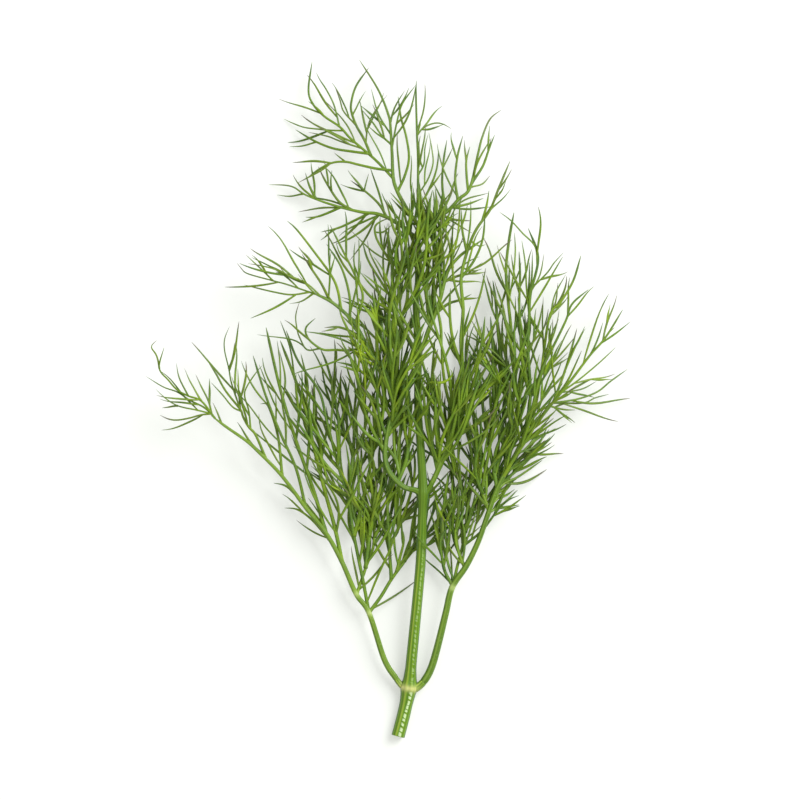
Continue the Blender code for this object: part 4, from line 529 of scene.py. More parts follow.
# Places where it leans more, or less where the last number is below nothing: x, y, reach, how much
YELLOW_SPOTS = [(-10.5, 13, 4, 0.3), (-14, -24, 14, 0.16), (0, 64, 16, -0.12)]
# How much more or less single shoots lean
SHOOT_TONES = {"spray_second_left": -0.4, "spray_low_right": 0.1}

# Colours, as light
LEAF_GREENS = [(0.0, (0.030, 0.088, 0.014)), (0.35, (0.062, 0.134, 0.004)), (0.65, (0.110, 0.190, 0.003)),
               (1.0, (0.25, 0.35, 0.003))]
LEAF_STREAK = (0.19, 0.30, 0.018)
# Paler green along a leaflet's top channel: partly its own colour, partly painted highlight
LEAF_CHANNEL_AND_HIGHLIGHT = (0.18, 0.30, 0.035)
LEAF_FLECK = (0.22, 0.33, 0.09)
LEAF_OLIVE = (0.125, 0.155, 0.026)
FORK_PALE = (0.42, 0.52, 0.17)
TIP_DARK = (0.045, 0.095, 0.03)
TIP_DRY = (0.105, 0.085, 0.055)
SHOOT_GREENS = [(0.0, (0.048, 0.11, 0.010)), (0.5, (0.085, 0.165, 0.004)), (1.0, (0.19, 0.31, 0.006))]
SHOOT_STREAK = (0.13, 0.22, 0.018)
SHOOT_TIP = (0.110, 0.125, 0.050)
# Paler green along a shoot's top channel: partly its own colour, partly painted highlight
SHOOT_CHANNEL_AND_HIGHLIGHT = (0.18, 0.28, 0.04)
STALK_GROOVE = (0.062, 0.150, 0.002)
STALK_RIDGE = (0.128, 0.245, 0.006)
STALK_UPPER = (0.054, 0.118, 0.002)
STALK_STREAK = (0.115, 0.20, 0.012)
# Blue-green of the stalk's sides: partly waxy bloom, partly painted sheen
STALK_BLOOM_AND_SHEEN = (0.060, 0.125, 0.052)
STALK_BRIGHT = (0.30, 0.40, 0.045)
STALK_JOINT = (0.52, 0.52, 0.18)
# Pale rungs in the stalk's groove: painted glints
LADDER_GLINT_PALE = (0.50, 0.62, 0.34)
CUT_COLOURS = [(0.0, (0.30, 0.42, 0.14)), (1.0, (0.58, 0.64, 0.36))]
CUT_CELL = (0.70, 0.74, 0.52)
# The card's faint green tint is painted bounce light from the sprig; its glow is painted light that lifts its
# shade
FLOOR_GREENISH_WHITES = [(0.0, (0.432, 0.444, 0.420)), (1.0, (0.447, 0.459, 0.435))]
FLOOR_PAINTED_GLOW, FLOOR_PAINTED_GLOW_COLOUR = 0.41, (0.98, 0.993, 0.95, 1.0)

# Effects that the finishes share
FIBRE_SEEDS, FIBRE_EDGES = 91.0, (0.32, 0.68)   # how unlike two threads are, and how crisp a streak is
BROAD_FIBRES, FINE_FIBRES = (1.0, 3.0, 0.6), (3.1, 2.0, 0.4)   # fineness, detail and part of the relief
PATCH_DETAIL, PATCH_EDGES, CELL_EDGES = 4.0, (0.3, 0.7), (0.0, 0.7)   # edges: from nothing to one
FLECK_START = 0.93         # of all cells, those that draw more than this are flecks
DARK_TIP = (0.62, 1.0)     # share along a thread where its tip darkens
DRY_LENGTH, DRY_EDGES = 0.3, (0.0, 0.12)   # most of a thread that dries, and its soft edge
DRY_WITHER = (0.12, 0.6)   # how withered a thread is where drying starts to show, and where it is full

# What each finish takes of them. Fibres: their count round a thread and their stretch along it.
# Skin: how fine its patches and its cells are. Lean: how far patches shift the green. Channel: its
# place round the thread, its half width and its strength; its paler green along the top is partly the
# channel's own colour and partly painted highlight. Relief: depth in metres and strength.
# Body: what is the same all over.
LEAF_LOOK = {
    "fibres": (1.4, 0.35), "skin": (260.0, 5200.0), "lean": 0.16, "greens": LEAF_GREENS,
    "streak": LEAF_STREAK, "streak_share": 0.34, "channel": (0.25, 0.11, 0.28),
    "channel_and_highlight_green": LEAF_CHANNEL_AND_HIGHLIGHT, "flecks": 0.25, "forks": 0.5, "roughness": (0.50, 0.36), "cells": 0.25,
    "relief": (0.00006, 0.6),
    "body": {"Specular IOR Level": 0.22, "Subsurface Weight": 0.06, "Subsurface Radius": (0.5, 1.0, 0.2),
             "Subsurface Scale": 0.0003},
}
LEAF_OLIVE_SHARE, TIP_DARK_SHARE, TIP_DRY_SHARE = 0.42, 0.55, 0.85
SHOOT_LOOK = {
    "fibres": (2.6, 0.12), "skin": (180.0, 4200.0), "lean": 0.12, "greens": SHOOT_GREENS,
    "streak": SHOOT_STREAK, "streak_share": 0.55, "channel": (0.27, 0.07, 0.55),
    "channel_and_highlight_green": SHOOT_CHANNEL_AND_HIGHLIGHT, "flecks": 0.3, "forks": 0.8, "roughness": (0.46, 0.30), "cells": 0.2,
    "relief": (0.00010, 0.6),
    "body": {"Specular IOR Level": 0.28, "Subsurface Weight": 0.05, "Subsurface Radius": (0.5, 1.0, 0.2),
             "Subsurface Scale": 0.0004},
}
STALK_FIBRES, STALK_FIBRE_SEED, STALK_STREAK_SHARE = (3.4, 0.10), 0.3, 0.45
STALK_SKIN = (150.0, 4200.0)
STALK_TOP, GROOVE_EDGES, STALK_UPPER_SHARE = 0.25, (0.9, -0.9), 0.75
# The stalk's two sides are partly waxy bloom and partly painted sheen
STALK_BLOOM_SHEEN_FLANKS, BLOOM_SHEEN_SHARES = [(0.47, 0.10), (0.03, 0.10)], (0.45, 0.9)   # waxy sides: place, half width
BRIGHT_RIDGE, BRIGHT_SHARES = (0.315, 0.042), (0.8, 0.15)   # one ridge, strong below and faint above
JOINT_SHARES = (0.75, 1.0)
STALK_ROUGHNESS, SPOT_GLOSS, SPOT_RELIEF, STALK_RELIEF = (0.46, 0.32), 0.12, 0.8, (0.00012, 0.7)
STALK_BODY = {"Specular IOR Level": 0.28, "Subsurface Weight": 0.05, "Subsurface Radius": (0.5, 1.0, 0.2),
              "Subsurface Scale": 0.0005}
LADDER_STEP, LADDER_SLANT = 1.2, -4.0   # spacing of its rungs, and how they lean
LADDER_PLACE, LADDER_EDGES = 0.195, (0.012, 0.054)   # its middle and its soft edge, round the stalk
LADDER_RAGGED = 0.022      # how far patches of the skin shift it
LADDER_FINENESS, LADDER_DETAIL = 0.9, 1.0   # of the noise that makes its rungs uneven
LADDER_SHIFT, RUNG_SHARE, RUNG_EDGES = 1.4, 0.62, (-0.06, 0.05)   # how it moves and sizes them
CUT_SKIN, CUT_CELLS, CUT_ROUGHNESS, CUT_RELIEF = (900.0, 5200.0), 0.4, (0.25, 0.5), (0.00008, 0.8)
CUT_BODY = {"Subsurface Weight": 0.25, "Subsurface Radius": (0.7, 1.0, 0.4), "Subsurface Scale": 0.0008}
FLOOR_CLOUDS = {"Scale": 3.0, "Detail": 2.0}
# The card's glow is painted light, not a lamp
FLOOR_BODY = {"Roughness": 0.9, "Specular IOR Level": 0.1, "Emission Color": FLOOR_PAINTED_GLOW_COLOUR,
              "Emission Strength": FLOOR_PAINTED_GLOW}

# Stage
FLOOR_HALF, FLOOR_HEIGHT = 4.0, -0.0001
SKY_STRENGTH = 0.80
KEY_PLACE, KEY_SIZE, KEY_POWER = (0.85, 0.66, 0.88), 1.0, 29.0
SENSOR = 36.0
CAMERA_HEIGHT, PICTURE_WIDTH, PICTURE_LEVEL = 2.4, 0.2, 0.005

# Curves

def smooth(points, step):
    """Points about one step apart on a smooth curve through the given ones."""
    given = np.array(points, float)
    padded = np.vstack([2 * given[0] - given[1], given, 2 * given[-1] - given[-2]])
    fine = [given[0]]
    for a, b, c, d in zip(padded, padded[1:], padded[2:], padded[3:]):
        for part in np.linspace(0, 1, CURVE_POINTS)[1:]:
            fine.append(0.5 * ((2 * b) + (c - a) * part + (2 * a - 5 * b + 4 * c - d) * part ** 2
                               + (3 * b - a - 3 * c + d) * part ** 3))
    return resample(np.array(fine), step)


def lengths_along(points):
    return np.concatenate([[0], np.cumsum(np.linalg.norm(np.diff(points, axis=0), axis=1))])


def resample(points, step):
    """The same line with its points evenly spaced, about one step apart."""
    along = lengths_along(points)
    places = np.linspace(0, along[-1], max(2, round(along[-1] / step) + 1))
    return np.column_stack([np.interp(places, along, points[:, axis]) for axis in range(3)])


def piece_of(points, start, end):
    """The part of a line between two lengths along it."""
    along = lengths_along(points)
    end = min(end, along[-1])
    inside = points[(along > start) & (along < end)]
    first, final = (np.array([np.interp(place, along, points[:, axis]) for axis in range(3)])
                    for place in (start, end))
    return np.vstack([first, inside, final])


def place_on(points, share):
    along = lengths_along(points)
    return np.array([np.interp(share * along[-1], along, points[:, axis]) for axis in range(3)])


# Growing: each branch is a line with a radius at every point

class Branch:
    """A line of growth: its curve, the few points that the solids keep of it, and where it roots."""

    def __init__(self, kind, line, root_radius, tip_radius, parent=None, share=0.0):
        self.kind = kind
        self.line = line
        self.parent = parent
        self.share = share
        self.root_radius = root_radius
        self.tip_radius = tip_radius
        self.length = lengths_along(line)[-1]
        count = max(SEGMENTS_AT_LEAST[kind], round(self.length / STEPS[kind]))
        self.points = resample(line, self.length / count)
        self.length = lengths_along(self.points)[-1]

    def radius(self, share):
        return self.root_radius + (self.tip_radius - self.root_radius) * share

    def at(self, share):
        """The place and the direction at a share of the length."""
        spot, ahead, behind = (place_on(self.points, place) for place in
                               (share, min(share + NEARBY, 1), max(share - NEARBY, 0)))
        return spot, (ahead - behind) / np.linalg.norm(ahead - behind)


class Space:
    """What is already taken: points along every branch, with their radius and their spray."""

    def __init__(self):
        self.points = np.zeros((0, 3))
        self.radii = np.zeros(0)
        self.sprays = np.zeros(0, int)

    def take(self, branch, spray):
        spots = resample(branch.points, SAMPLE_STEP)
        shares = np.linspace(0, 1, len(spots))
        self.points = np.vstack([self.points, spots])
        self.radii = np.concatenate([self.radii, branch.radius(shares)])
        self.sprays = np.concatenate([self.sprays, np.full(len(spots), spray)])

    def shortfall(self, branch, spray, root_room):
        """How much too near the branch comes to what is there; zero or less is clear.

        The root's first stretch is let off its own spray, and with no root_room so is all of it."""
        spots = resample(branch.points, SAMPLE_STEP)
        low, high = spots.min(axis=0) - REACH, spots.max(axis=0) + REACH
        near = np.all((self.points > low) & (self.points < high), axis=1)
        if not near.any():
            return -1.0
        points, radii, sprays = self.points[near], self.radii[near], self.sprays[near]
        own = sprays == spray
        apart = np.linalg.norm(spots[:, None] - points[None], axis=2)
        mine = branch.radius(np.linspace(0, 1, len(spots)))[:, None]
        needed = mine + radii[None] + np.where(own, CROSSING_GAP, GAP + SPRAY_MARGIN)[None]
        lack = needed - apart
        skipped = len(spots) if root_room is None else int(round(root_room / SAMPLE_STEP))
        if own.any():
            lack[:skipped, own] = -1.0
        return float(lack.max())


def nearest_on(branches, spot):
    """The branch that passes nearest to a place in plan, the point of it there and its share."""
    best = None
    for branch in branches:
        line = resample(branch.points, SAMPLE_STEP)
        gaps = np.linalg.norm(line[:, :2] - np.array(spot), axis=1)
        index = min(int(gaps.argmin()), len(line) - 1 - round(TIP_CLEARANCE / SAMPLE_STEP))
        if best is None or gaps[index] < best[0]:
            best = (gaps[index], branch, line[index], index / (len(line) - 1))
    return best[1], best[2], best[3]


def lifted(points, lift):
    """The line raised by the lift from a little way past its root on."""
    share = lengths_along(points) / lengths_along(points)[-1]
    raised = points.copy()
    raised[:, 2] += lift * np.clip(share / LIFT_SHARE, 0, 1)
    return raised


def above_surface(points, radius):
    """The line with nothing of its thickness below the surface; its pointed tip may touch it."""
    kept = points.copy()
    kept[:-1, 2] = np.maximum(kept[:-1, 2], radius)
    kept[-1, 2] = max(kept[-1, 2], 0.0)
    return kept


def between_levels(points, radius):
    """The line kept above the surface and below the sprig's top."""
    kept = above_surface(points, radius)
    over = np.maximum(kept[:, 2] - SOFT_TOP, 0)
    kept[:, 2] -= over - TOP_ROOM * (1 - np.exp(-over / TOP_ROOM))
    return kept


def grow_route(space, number, kind, parents, tip_height, plan, thickest, tip_radius):
    """A twig or blade on the nearest parent, raised or lowered until it is clear, or none."""
    parent, root, share = nearest_on(parents, plan[0])
    along = lengths_along(np.array(plan, float))
    heights = root[2] + (tip_height - root[2]) * along / along[-1]
    points = smooth([tuple(root)] + [(x, y, z) for (x, y), z in zip(plan[1:], heights[1:])], SAMPLE_STEP)
    root_radius = min(thickest, parent.radius(share))
    for lift in LIFTS:
        line = between_levels(lifted(points, lift), root_radius)
        branch = Branch(kind, line, root_radius, tip_radius, parent, share)
        if space.shortfall(branch, number, None) <= 0:
            space.take(branch, number)
            return [branch]
    return []


def leaflet_line(root, along, side, length, angle, onward, sway):
    """A leaflet that leaves its twig at an angle, curves to its onward angle and sways, as points."""
    leaving = math.cos(angle) * along + math.sin(angle) * side
    ending = math.cos(angle * onward) * along + math.sin(angle * onward) * side
    across = math.cos(angle) * side - math.sin(angle) * along
    shares = np.linspace(0, 1, CURVE_POINTS)[:, None]
    bend = leaving * (shares - shares ** 2 / 2) + ending * shares ** 2 / 2
    return root + length * (bend + across * sway * np.sin(2 * math.pi * shares) * shares)


def side_of(direction, sign, roll):
    """The direction a leaflet leans to: out to one side, rolled up or down about the twig."""
    level = np.cross([0.0, 0.0, 1.0], direction)
    level /= np.linalg.norm(level)
    upright = np.cross(direction, level)
    return sign * math.cos(roll) * level + math.sin(roll) * upright


def grow_leaflets(space, number, name, index, twig, radius=LEAFLET_RADIUS, leeway=0.0):
    """Leaflets in pairs along a twig, each as long as its place lets it be and only where clear."""
    draw = random.Random(f"{name}-{index}")
    if twig.kind == "blade" and twig.length < SHORTEST_FORKED_BLADE:
        return []
    first, final = STATIONS[twig.kind]
    pairs = max(1, round(twig.length * (final - first) / PAIR_SPACING[twig.kind]) + 1)
    grown = []
    for share in [first] if pairs == 1 else np.linspace(first, final, pairs):
        for sign in (-1, 1):
            root_share = share + draw.uniform(-STATION_JITTER, STATION_JITTER)
            spot, direction = twig.at(root_share)
            if draw.random() > LONE_CHANCE + (1 - LONE_CHANCE) * fullness(spot):
                continue
            size = min(twig.reach * draw.uniform(*LEAFLET_GROWTH), (1 - share) * twig.length + LEAFLET_MARGIN)
            for attempt in range(LEAFLET_TRIES):
                angle = (WIDE_ANGLE + (NARROW_ANGLE - WIDE_ANGLE) * share
                         + draw.uniform(-ANGLE_JITTER, ANGLE_JITTER))
                roll = draw.uniform(-ROLL, ROLL) * (1 + TRY_ROLL * attempt)
                length = size * (1 - TRY_LENGTH * attempt)
                line = leaflet_line(spot, direction, side_of(direction, sign, roll), length, angle,
                                    draw.uniform(*ONWARD), draw.uniform(-SWAY, SWAY))
                line = between_levels(line, radius)
                leaflet = Branch("leaflet", line, radius, THREAD_TIP, twig, root_share)
                if (length > SHORTEST_LEAFLET and LEFT_EDGE < line[-1, 0] < RIGHT_EDGE
                        and space.shortfall(leaflet, number, ROOT_ROOM["leaflet"]) <= leeway):
                    space.take(leaflet, number)
                    grown.append(leaflet)
                    break
    return grown


def fullness(place, parts=FULL_PARTS):
    """How dense the sprig is at a place, from 0 outside its full parts to 1 inside them."""
    inwards = max(FULL_EDGE - math.hypot((place[0] - x) / wide, (place[1] - y) / tall)
                  for x, y, wide, tall in parts)
    return min(1.0, max(0.0, FULL_SLOPE * inwards))


def filler_line(root, along, side, length, angle, heading, sway, rise):
    """A long thread that leaves its parent, turns to its heading in plan and sways a little."""
    ahead = math.cos(angle) * along + math.sin(angle) * side
    fan = np.array([math.sin(heading), math.cos(heading), 0.0])
    onward = ahead + FAN_SHARE * (fan - ahead)
    level = np.cross([0.0, 0.0, 1.0], onward)
    shares = np.linspace(0, 1, CURVE_POINTS)[:, None]
    turning = (ahead * FILLER_TURNING * shares * (1 - shares)
               + onward * shares * (FILLER_LEAVING + FILLER_TURNING * shares))
    swaying = level * sway * np.sin(math.pi * shares * FILLER_WAVES) + np.array([0.0, 0.0, rise]) * shares
    return smooth(root + length * turning + swaying, SAMPLE_STEP)


def grow_fillers(space, number, name, index, parent, parts, spacing, wander, leeway):
    """Long threads on a shoot or twig, only where the sprig is full and where they are clear."""
    draw = random.Random(f"{name}-{index}-{spacing[parent.kind]}")
    grown = []
    for _ in range(round(parent.length / spacing[parent.kind])):
        root_share = draw.uniform(*FILLER_STATIONS)
        spot, direction = parent.at(root_share)
        if draw.random() > fullness(spot + direction * FULLNESS_AHEAD, parts):
            continue
        fan = math.atan2(spot[0] - FAN_CENTRE[0], spot[1] - FAN_CENTRE[1])
        for _ in range(FILLER_TRIES):
            side = side_of(direction, draw.choice((-1, 1)), draw.uniform(-FILLER_SIDE_ROLL, FILLER_SIDE_ROLL))
            line = filler_line(spot, direction, side, draw.uniform(*FILLER_LENGTH),
                               draw.uniform(*FILLER_ANGLES), fan + draw.uniform(-wander, wander),
                               draw.uniform(-FILLER_SWAY, FILLER_SWAY), draw.uniform(*FILLER_RISE))
            filler = Branch("filler", between_levels(line, FILLER_RADIUS), FILLER_RADIUS, THREAD_TIP, parent,
                            root_share)
            if (fullness(line[-1]) > LEAST_FULLNESS
                    and space.shortfall(filler, number, ROOT_ROOM["filler"]) <= leeway):
                filler.reach = FILLER_REACH
                space.take(filler, number)
                grown.append(filler)
                break
    return grown


def grow_shoot(space, number, name, plan):
    """The shoot, and the stub that the stalk keeps of it; the sprig's tip has no stub."""
    line = smooth(plan["shoot"], SAMPLE_STEP)
    stub = 0.0 if name == "spray_tip" else STUB_LENGTH
    shoot = Branch("shoot", piece_of(line, stub + GAP, lengths_along(line)[-1]), *plan["radii"])
    shoot.points = above_surface(shoot.points, plan["radii"][1])
    shoot.line = above_surface(shoot.line, plan["radii"][1])
    shoot.lead = lead_into_stalk(line, stub)
    space.take(shoot, number)
    if not stub:
        return shoot, None
    root_radius = plan["radii"][0]
    kept = Branch("stub", above_surface(piece_of(line, 0, stub), root_radius), root_radius, root_radius)
    space.take(kept, -1)
    return shoot, kept


def grow_sprig():
    """Every branch of every spray, as in the solids, and the stubs that stay on the stalk."""
    space = Space()
    space.take(Branch("stalk", smooth(STALK_ROUTE, SAMPLE_STEP), *STALK_THICKNESS), -1)
    sprays, stubs = {}, {}
    for number, (name, plan) in enumerate(SPRAYS.items()):
        shoot, stub = grow_shoot(space, number, name, plan)
        sprays[name] = [shoot]
        if stub:
            stubs[name] = stub
    for number, (name, plan) in enumerate(SPRAYS.items()):
        for tip_height, reach, route in plan["twigs"]:
            grown = grow_route(space, number, "twig", sprays[name], tip_height, route,
                               TWIG_RADIUS, TWIG_TIP)
            for twig in grown:
                twig.reach = reach
            sprays[name] += grown
    for number, (name, plan) in enumerate(SPRAYS.items()):
        for tip_height, route in plan["blades"]:
            grown = grow_route(space, number, "blade", sprays[name], tip_height, route,
                               BLADE_RADIUS, THREAD_TIP)
            for blade in grown:
                blade.reach = BLADE_REACH * blade.length
            sprays[name] += grown
    for number, name in enumerate(SPRAYS):
        for index, parent in enumerate(list(sprays[name])):
            if parent.kind in MAIN_FILLERS:
                sprays[name] += grow_fillers(space, number, name, index, parent, FULL_PARTS,
                                             MAIN_FILLERS, WANDER, 0.0)
    for number, name in enumerate(SPRAYS):
        for index, parent in enumerate(list(sprays[name])):
            if parent.kind in ("twig", "blade"):
                sprays[name] += grow_leaflets(space, number, name, index, parent)
    return space, sprays, stubs


# The leaflets that only the drawn sprays have

def grow_forks(space, number, name, index, leaflet):
    """Long leaflets divide again: one or two finer threads that leave near the middle."""
    draw = random.Random(f"{name}-{index}-fork")
    grown = []
    if leaflet.length < FORKING_LENGTH:
        return grown
    if draw.random() > FORK_CHANCE + FORK_CHANCE_INSIDE * fullness(leaflet.points[0]):
        return grown
    for sign in draw.sample((-1, 1), 2 if leaflet.length > TWICE_FORKING_LENGTH else 1):
        root_share = draw.uniform(*FORK_ROOTS)
        spot, direction = leaflet.at(root_share)
        for _ in range(FORK_TRIES):
            side = side_of(direction, sign, draw.uniform(-ROLL, ROLL) * FORK_ROLL)
            length = max(SHORTEST_EXTRA, leaflet.length * (1 - root_share) * draw.uniform(*FORK_LENGTHS))
            line = leaflet_line(spot, direction, side, length, draw.uniform(*FORK_ANGLES),
                                draw.uniform(*FORK_ONWARD), draw.uniform(-FORK_SWAY, FORK_SWAY))
            fork = Branch("leaflet", between_levels(line, EXTRA_RADIUS), EXTRA_RADIUS, FORK_TIP, leaflet,
                          root_share)
            if space.shortfall(fork, number, FORK_ROOT_ROOM) <= EXTRA_LEEWAY:
                space.take(fork, number)
                grown.append(fork)
                break
    return grown


def grow_extras(space, sprays):
    """Adds the finer threads to every spray: more fillers, leaflets on every filler, and forks."""
    for number, name in enumerate(SPRAYS):
        for index, branch in enumerate(list(sprays[name])):
            if branch.kind in EXTRA_FILLERS:
                sprays[name] += grow_fillers(space, number, name, index, branch, EXTRA_PARTS,
                                             EXTRA_FILLERS, EXTRA_WANDER, EXTRA_LEEWAY)
    for number, name in enumerate(SPRAYS):
        for index, branch in enumerate(list(sprays[name])):
            if branch.kind == "filler":
                sprays[name] += grow_leaflets(space, number, name, index, branch, EXTRA_RADIUS, EXTRA_LEEWAY)
    for number, name in enumerate(SPRAYS):
        for index, branch in enumerate(list(sprays[name])):
            if branch.kind == "leaflet":
                sprays[name] += grow_forks(space, number, name, index, branch)


def lead_into_stalk(line, stub):
    """The stretch of a shoot's line that runs on into the stalk's stub or end, to hide its root."""
    if stub:
        return piece_of(line, stub - LEAD_LENGTH, stub + GAP)
    back = (line[0] - line[2]) / np.linalg.norm(line[0] - line[2])
    return np.vstack([line[0] + back * (LEAD_LENGTH - GAP), line[0], piece_of(line, 0, GAP)[-1]])


def settle(branches):
    """Gives each branch its fine line, its root carried onto its parent's fine line."""
    for branch in branches:
        fine = resample(branch.line, FINE_STEP)
        if branch.parent is not None:
            share = lengths_along(fine) / lengths_along(fine)[-1]
            fade = np.clip(1 - share / ROOT_FADE, 0, 1)[:, None]
            fine = fine + fade * fade * (place_on(branch.parent.fine, branch.share) - fine[0])
        branch.fine = fine


# Drawing: every branch becomes a closed tube, and a spray's tubes make one mesh

class Threads:
    """The tubes of one piece, gathered as plain lists before the mesh is made."""

    def __init__(self):
        self.spots, self.faces, self.looks = [], [], []
        self.grain, self.slots = [], []
        self.marks = {name: [] for name in ("tone", "along", "joint", "wither")}

    def add(self, rings, tip, lengths, marks, looks):
        """One tube: its rings of places, its tip (or none), the length along at each ring, its marks.

        The looks are the finish of the root's cap, of each stretch between rings, and of the tip."""
        sides = len(rings[0])
        first = len(self.spots)
        self.spots += [tuple(spot) for ring in rings for spot in ring]
        for name, values in marks.items():
            self.marks[name] += [value for value in values[:len(rings)] for _ in range(sides)]
        last = first + (len(rings) - 1) * sides
        self.face([first + side for side in reversed(range(sides))], [(0.5, lengths[0])] * sides, looks[0])
        for ring, (near, far) in enumerate(zip(lengths, lengths[1:len(rings)])):
            start = first + ring * sides
            for side in range(sides):
                after = (side + 1) % sides
                left, right = side / sides, (side + 1) / sides
                self.face((start + side, start + after, start + sides + after, start + sides + side),
                          ((left, near), (right, near), (right, far), (left, far)), looks[ring + 1])
        if tip is None:
            self.face([last + side for side in range(sides)], [(0.5, lengths[-1])] * sides, looks[-1])
            return
        self.spots.append(tuple(tip))
        for name, values in marks.items():
            self.marks[name].append(values[-1])
        for side in range(sides):
            left, right = side / sides, (side + 1) / sides
            self.face((last + side, last + (side + 1) % sides, len(self.spots) - 1),
                      ((left, lengths[len(rings) - 1]), (right, lengths[len(rings) - 1]),
                       ((left + right) / 2, lengths[-1])), looks[-1])

    def face(self, corners, grain, look):
        self.faces.append(tuple(corners))
        self.grain += grain
        self.looks.append(look)

    def piece(self, name, materials, shift):
        """The mesh object, in the frame's metres, with its marks and its grain map."""
        data = bpy.data.meshes.new(name)
        spots = np.array(self.spots) * MILLIMETRE + shift
        data.from_pydata(spots.tolist(), [], self.faces)
        for material in materials:
            data.materials.append(material)
        data.polygons.foreach_set("material_index", self.looks)
        data.polygons.foreach_set("use_smooth", [True] * len(self.faces))
        grain = data.uv_layers.new(name="grain")
        grain.data.foreach_set("uv", np.array(self.grain, np.float32).ravel())
        for label, values in self.marks.items():
            marked = data.attributes.new(label, "FLOAT", "POINT").data
            marked.foreach_set("value", np.array(values, np.float32))
        data.update()
        made = bpy.data.objects.new(name, data)
        bpy.context.scene.collection.objects.link(made)
        return made


def frames_along(points):
    """A level and an upward direction square to the line at each point, turning as little as they can."""
    tangents = np.gradient(points, axis=0)
    tangents /= np.linalg.norm(tangents, axis=1)[:, None]
    across = np.cross(tangents[0], [0.0, 0.0, 1.0])
    frames = []
    for tangent in tangents:
        across = across - tangent * (across @ tangent)
        across /= np.linalg.norm(across)
        frames.append((across, np.cross(across, tangent)))
    return frames


def rings_round(points, widths, heights, profile, turns):
    """Rings of places about a line: an oval of the given half width and half height at each point.

    The profile is (angle, share of the oval's size) for each side; turns twists each ring."""
    rings = []
    frames = frames_along(points)
    for centre, width, height, (across, upward), turn in zip(points, widths, heights, frames, turns):
        level = math.cos(turn) * across + math.sin(turn) * upward
        raised = math.cos(turn) * upward - math.sin(turn) * across
        ring = [centre + share * (width * math.cos(angle) * level + height * math.sin(angle) * raised)
                for angle, share in profile]
        for spot in ring:
            spot[2] = max(spot[2], LOWEST)
        rings.append(ring)
    return rings


def channelled(sides, depth):
    """A round profile with a shallow channel along its top."""
    angles = [2 * math.pi * side / sides for side in range(sides)]
    return [(angle, 1 - depth * math.exp(-((angle - math.pi / 2) / CHANNEL_WIDTH) ** 2)) for angle in angles]


def ribbed(sides, ribs, depth):
    """A round profile with ribs, and a groove between each two."""
    angles = [2 * math.pi * side / sides for side in range(sides)]
    return [(angle, 1 + depth * math.cos(ribs * (angle - math.pi / 2) + math.pi)) for angle in angles]


PROFILES = {
    "leaflet": channelled(10, 0.30), "blade": channelled(10, 0.28), "twig": channelled(12, 0.22),
    "filler": channelled(10, 0.26), "shoot": ribbed(20, 5, 0.05),
}


def thread_sizes(branch, draw, shares, lengths):
    """Half width of a branch at each share: flared at its root, even, and drawn out to its tip."""
    total = lengths[-1]
    if branch.kind == "leaflet":
        base = FINE_WIDTH if branch.root_radius < LEAFLET_RADIUS else LEAFLET_WIDTH
        swell = LEAFLET_SWELL * np.sin(math.pi * np.clip(shares * LEAFLET_SWELL_PLACE, 0, 1))
        body = base * draw.uniform(*LEAFLET_SPREAD) * (LEAFLET_SLIM + swell)
    elif branch.kind == "blade":
        body = BLADE_WIDTH * draw.uniform(*BLADE_SPREAD) * (1 - BLADE_TAPER * shares)
    elif branch.kind in ("twig", "filler"):
        root, tip = FILLER_WIDTH if branch.kind == "filler" else TWIG_WIDTH
        body = root + (tip - root) * shares
    else:
        body = branch.radius(shares)
    flare = 1 + FLARE * np.exp(-lengths / FLARE_LENGTH) if branch.parent is not None else 1.0
    if branch.kind != "shoot":
        body = body * (EDGE_WIDTH + (1 - EDGE_WIDTH) * fullness(branch.at(0.5)[0]))
    point_length = min(POINT_SHARE * total, POINT_LENGTH[branch.kind])
    point = np.clip((total - lengths) / point_length, 0, 1) ** POINT_POWER
    return body * flare * point


def draw_branch(threads, branch, index, name):
    """Adds one branch to its spray's threads."""
    draw = random.Random(f"{name}-{index}-look")
    points = branch.fine
    if branch.kind == "shoot":
        points = np.vstack([resample(branch.lead, FINE_STEP)[:-1], points])
    total = lengths_along(points)[-1]
    rings = max(RINGS_AT_LEAST, round(total / RING_STEP[branch.kind]))
    shares = 1 - (1 - np.linspace(0, 1, rings + 1)) ** RING_CROWDING
    lengths = shares * total
    line = np.array([place_on(points, share) for share in shares])
    widths = thread_sizes(branch, draw, shares, lengths)
    if branch.kind == "shoot":
        widths *= np.interp(shares, (0, 1), SHOOT_SLIMNESS[name])
        widths *= np.clip(LEAD_SLIM + LEAD_GROWTH * lengths / LEAD_LENGTH, 0, 1)
    profile = PROFILES[branch.kind]
    roll, twist = draw.uniform(-DRAWN_ROLL, DRAWN_ROLL), draw.uniform(-TWIST, TWIST)
    turns = roll + twist * shares if branch.kind in ("leaflet", "blade", "filler") else np.zeros(rings + 1)
    flatness = FLATNESS[branch.kind]
    places = rings_round(line[:-1], widths[:-1], widths[:-1] * flatness, profile, turns[:-1])
    tone = tone_at(line[len(line) // 2], draw)
    if branch.kind == "shoot":
        tone = max(tone + SHOOT_TONES.get(name, 0.0), 0.0)
    joint = paleness(line, PALE_FORKS)
    wither = draw.random() ** (WITHER_OUTSIDE + WITHER_INSIDE * fullness(line[len(line) // 2]))
    wither *= min(1.0, WITHER_LENGTH / total)
    if branch.kind == "shoot":
        wither = OLIVE_TIPS.get(name, 0.0)
    marks = {"tone": np.full(rings + 1, tone), "along": shares, "joint": joint,
             "wither": np.full(rings + 1, wither)}
    finish = SHOOT_FINISH if branch.kind == "shoot" else LEAF_FINISH
    threads.add(places, line[-1], lengths, marks, [finish] * (rings + 1))


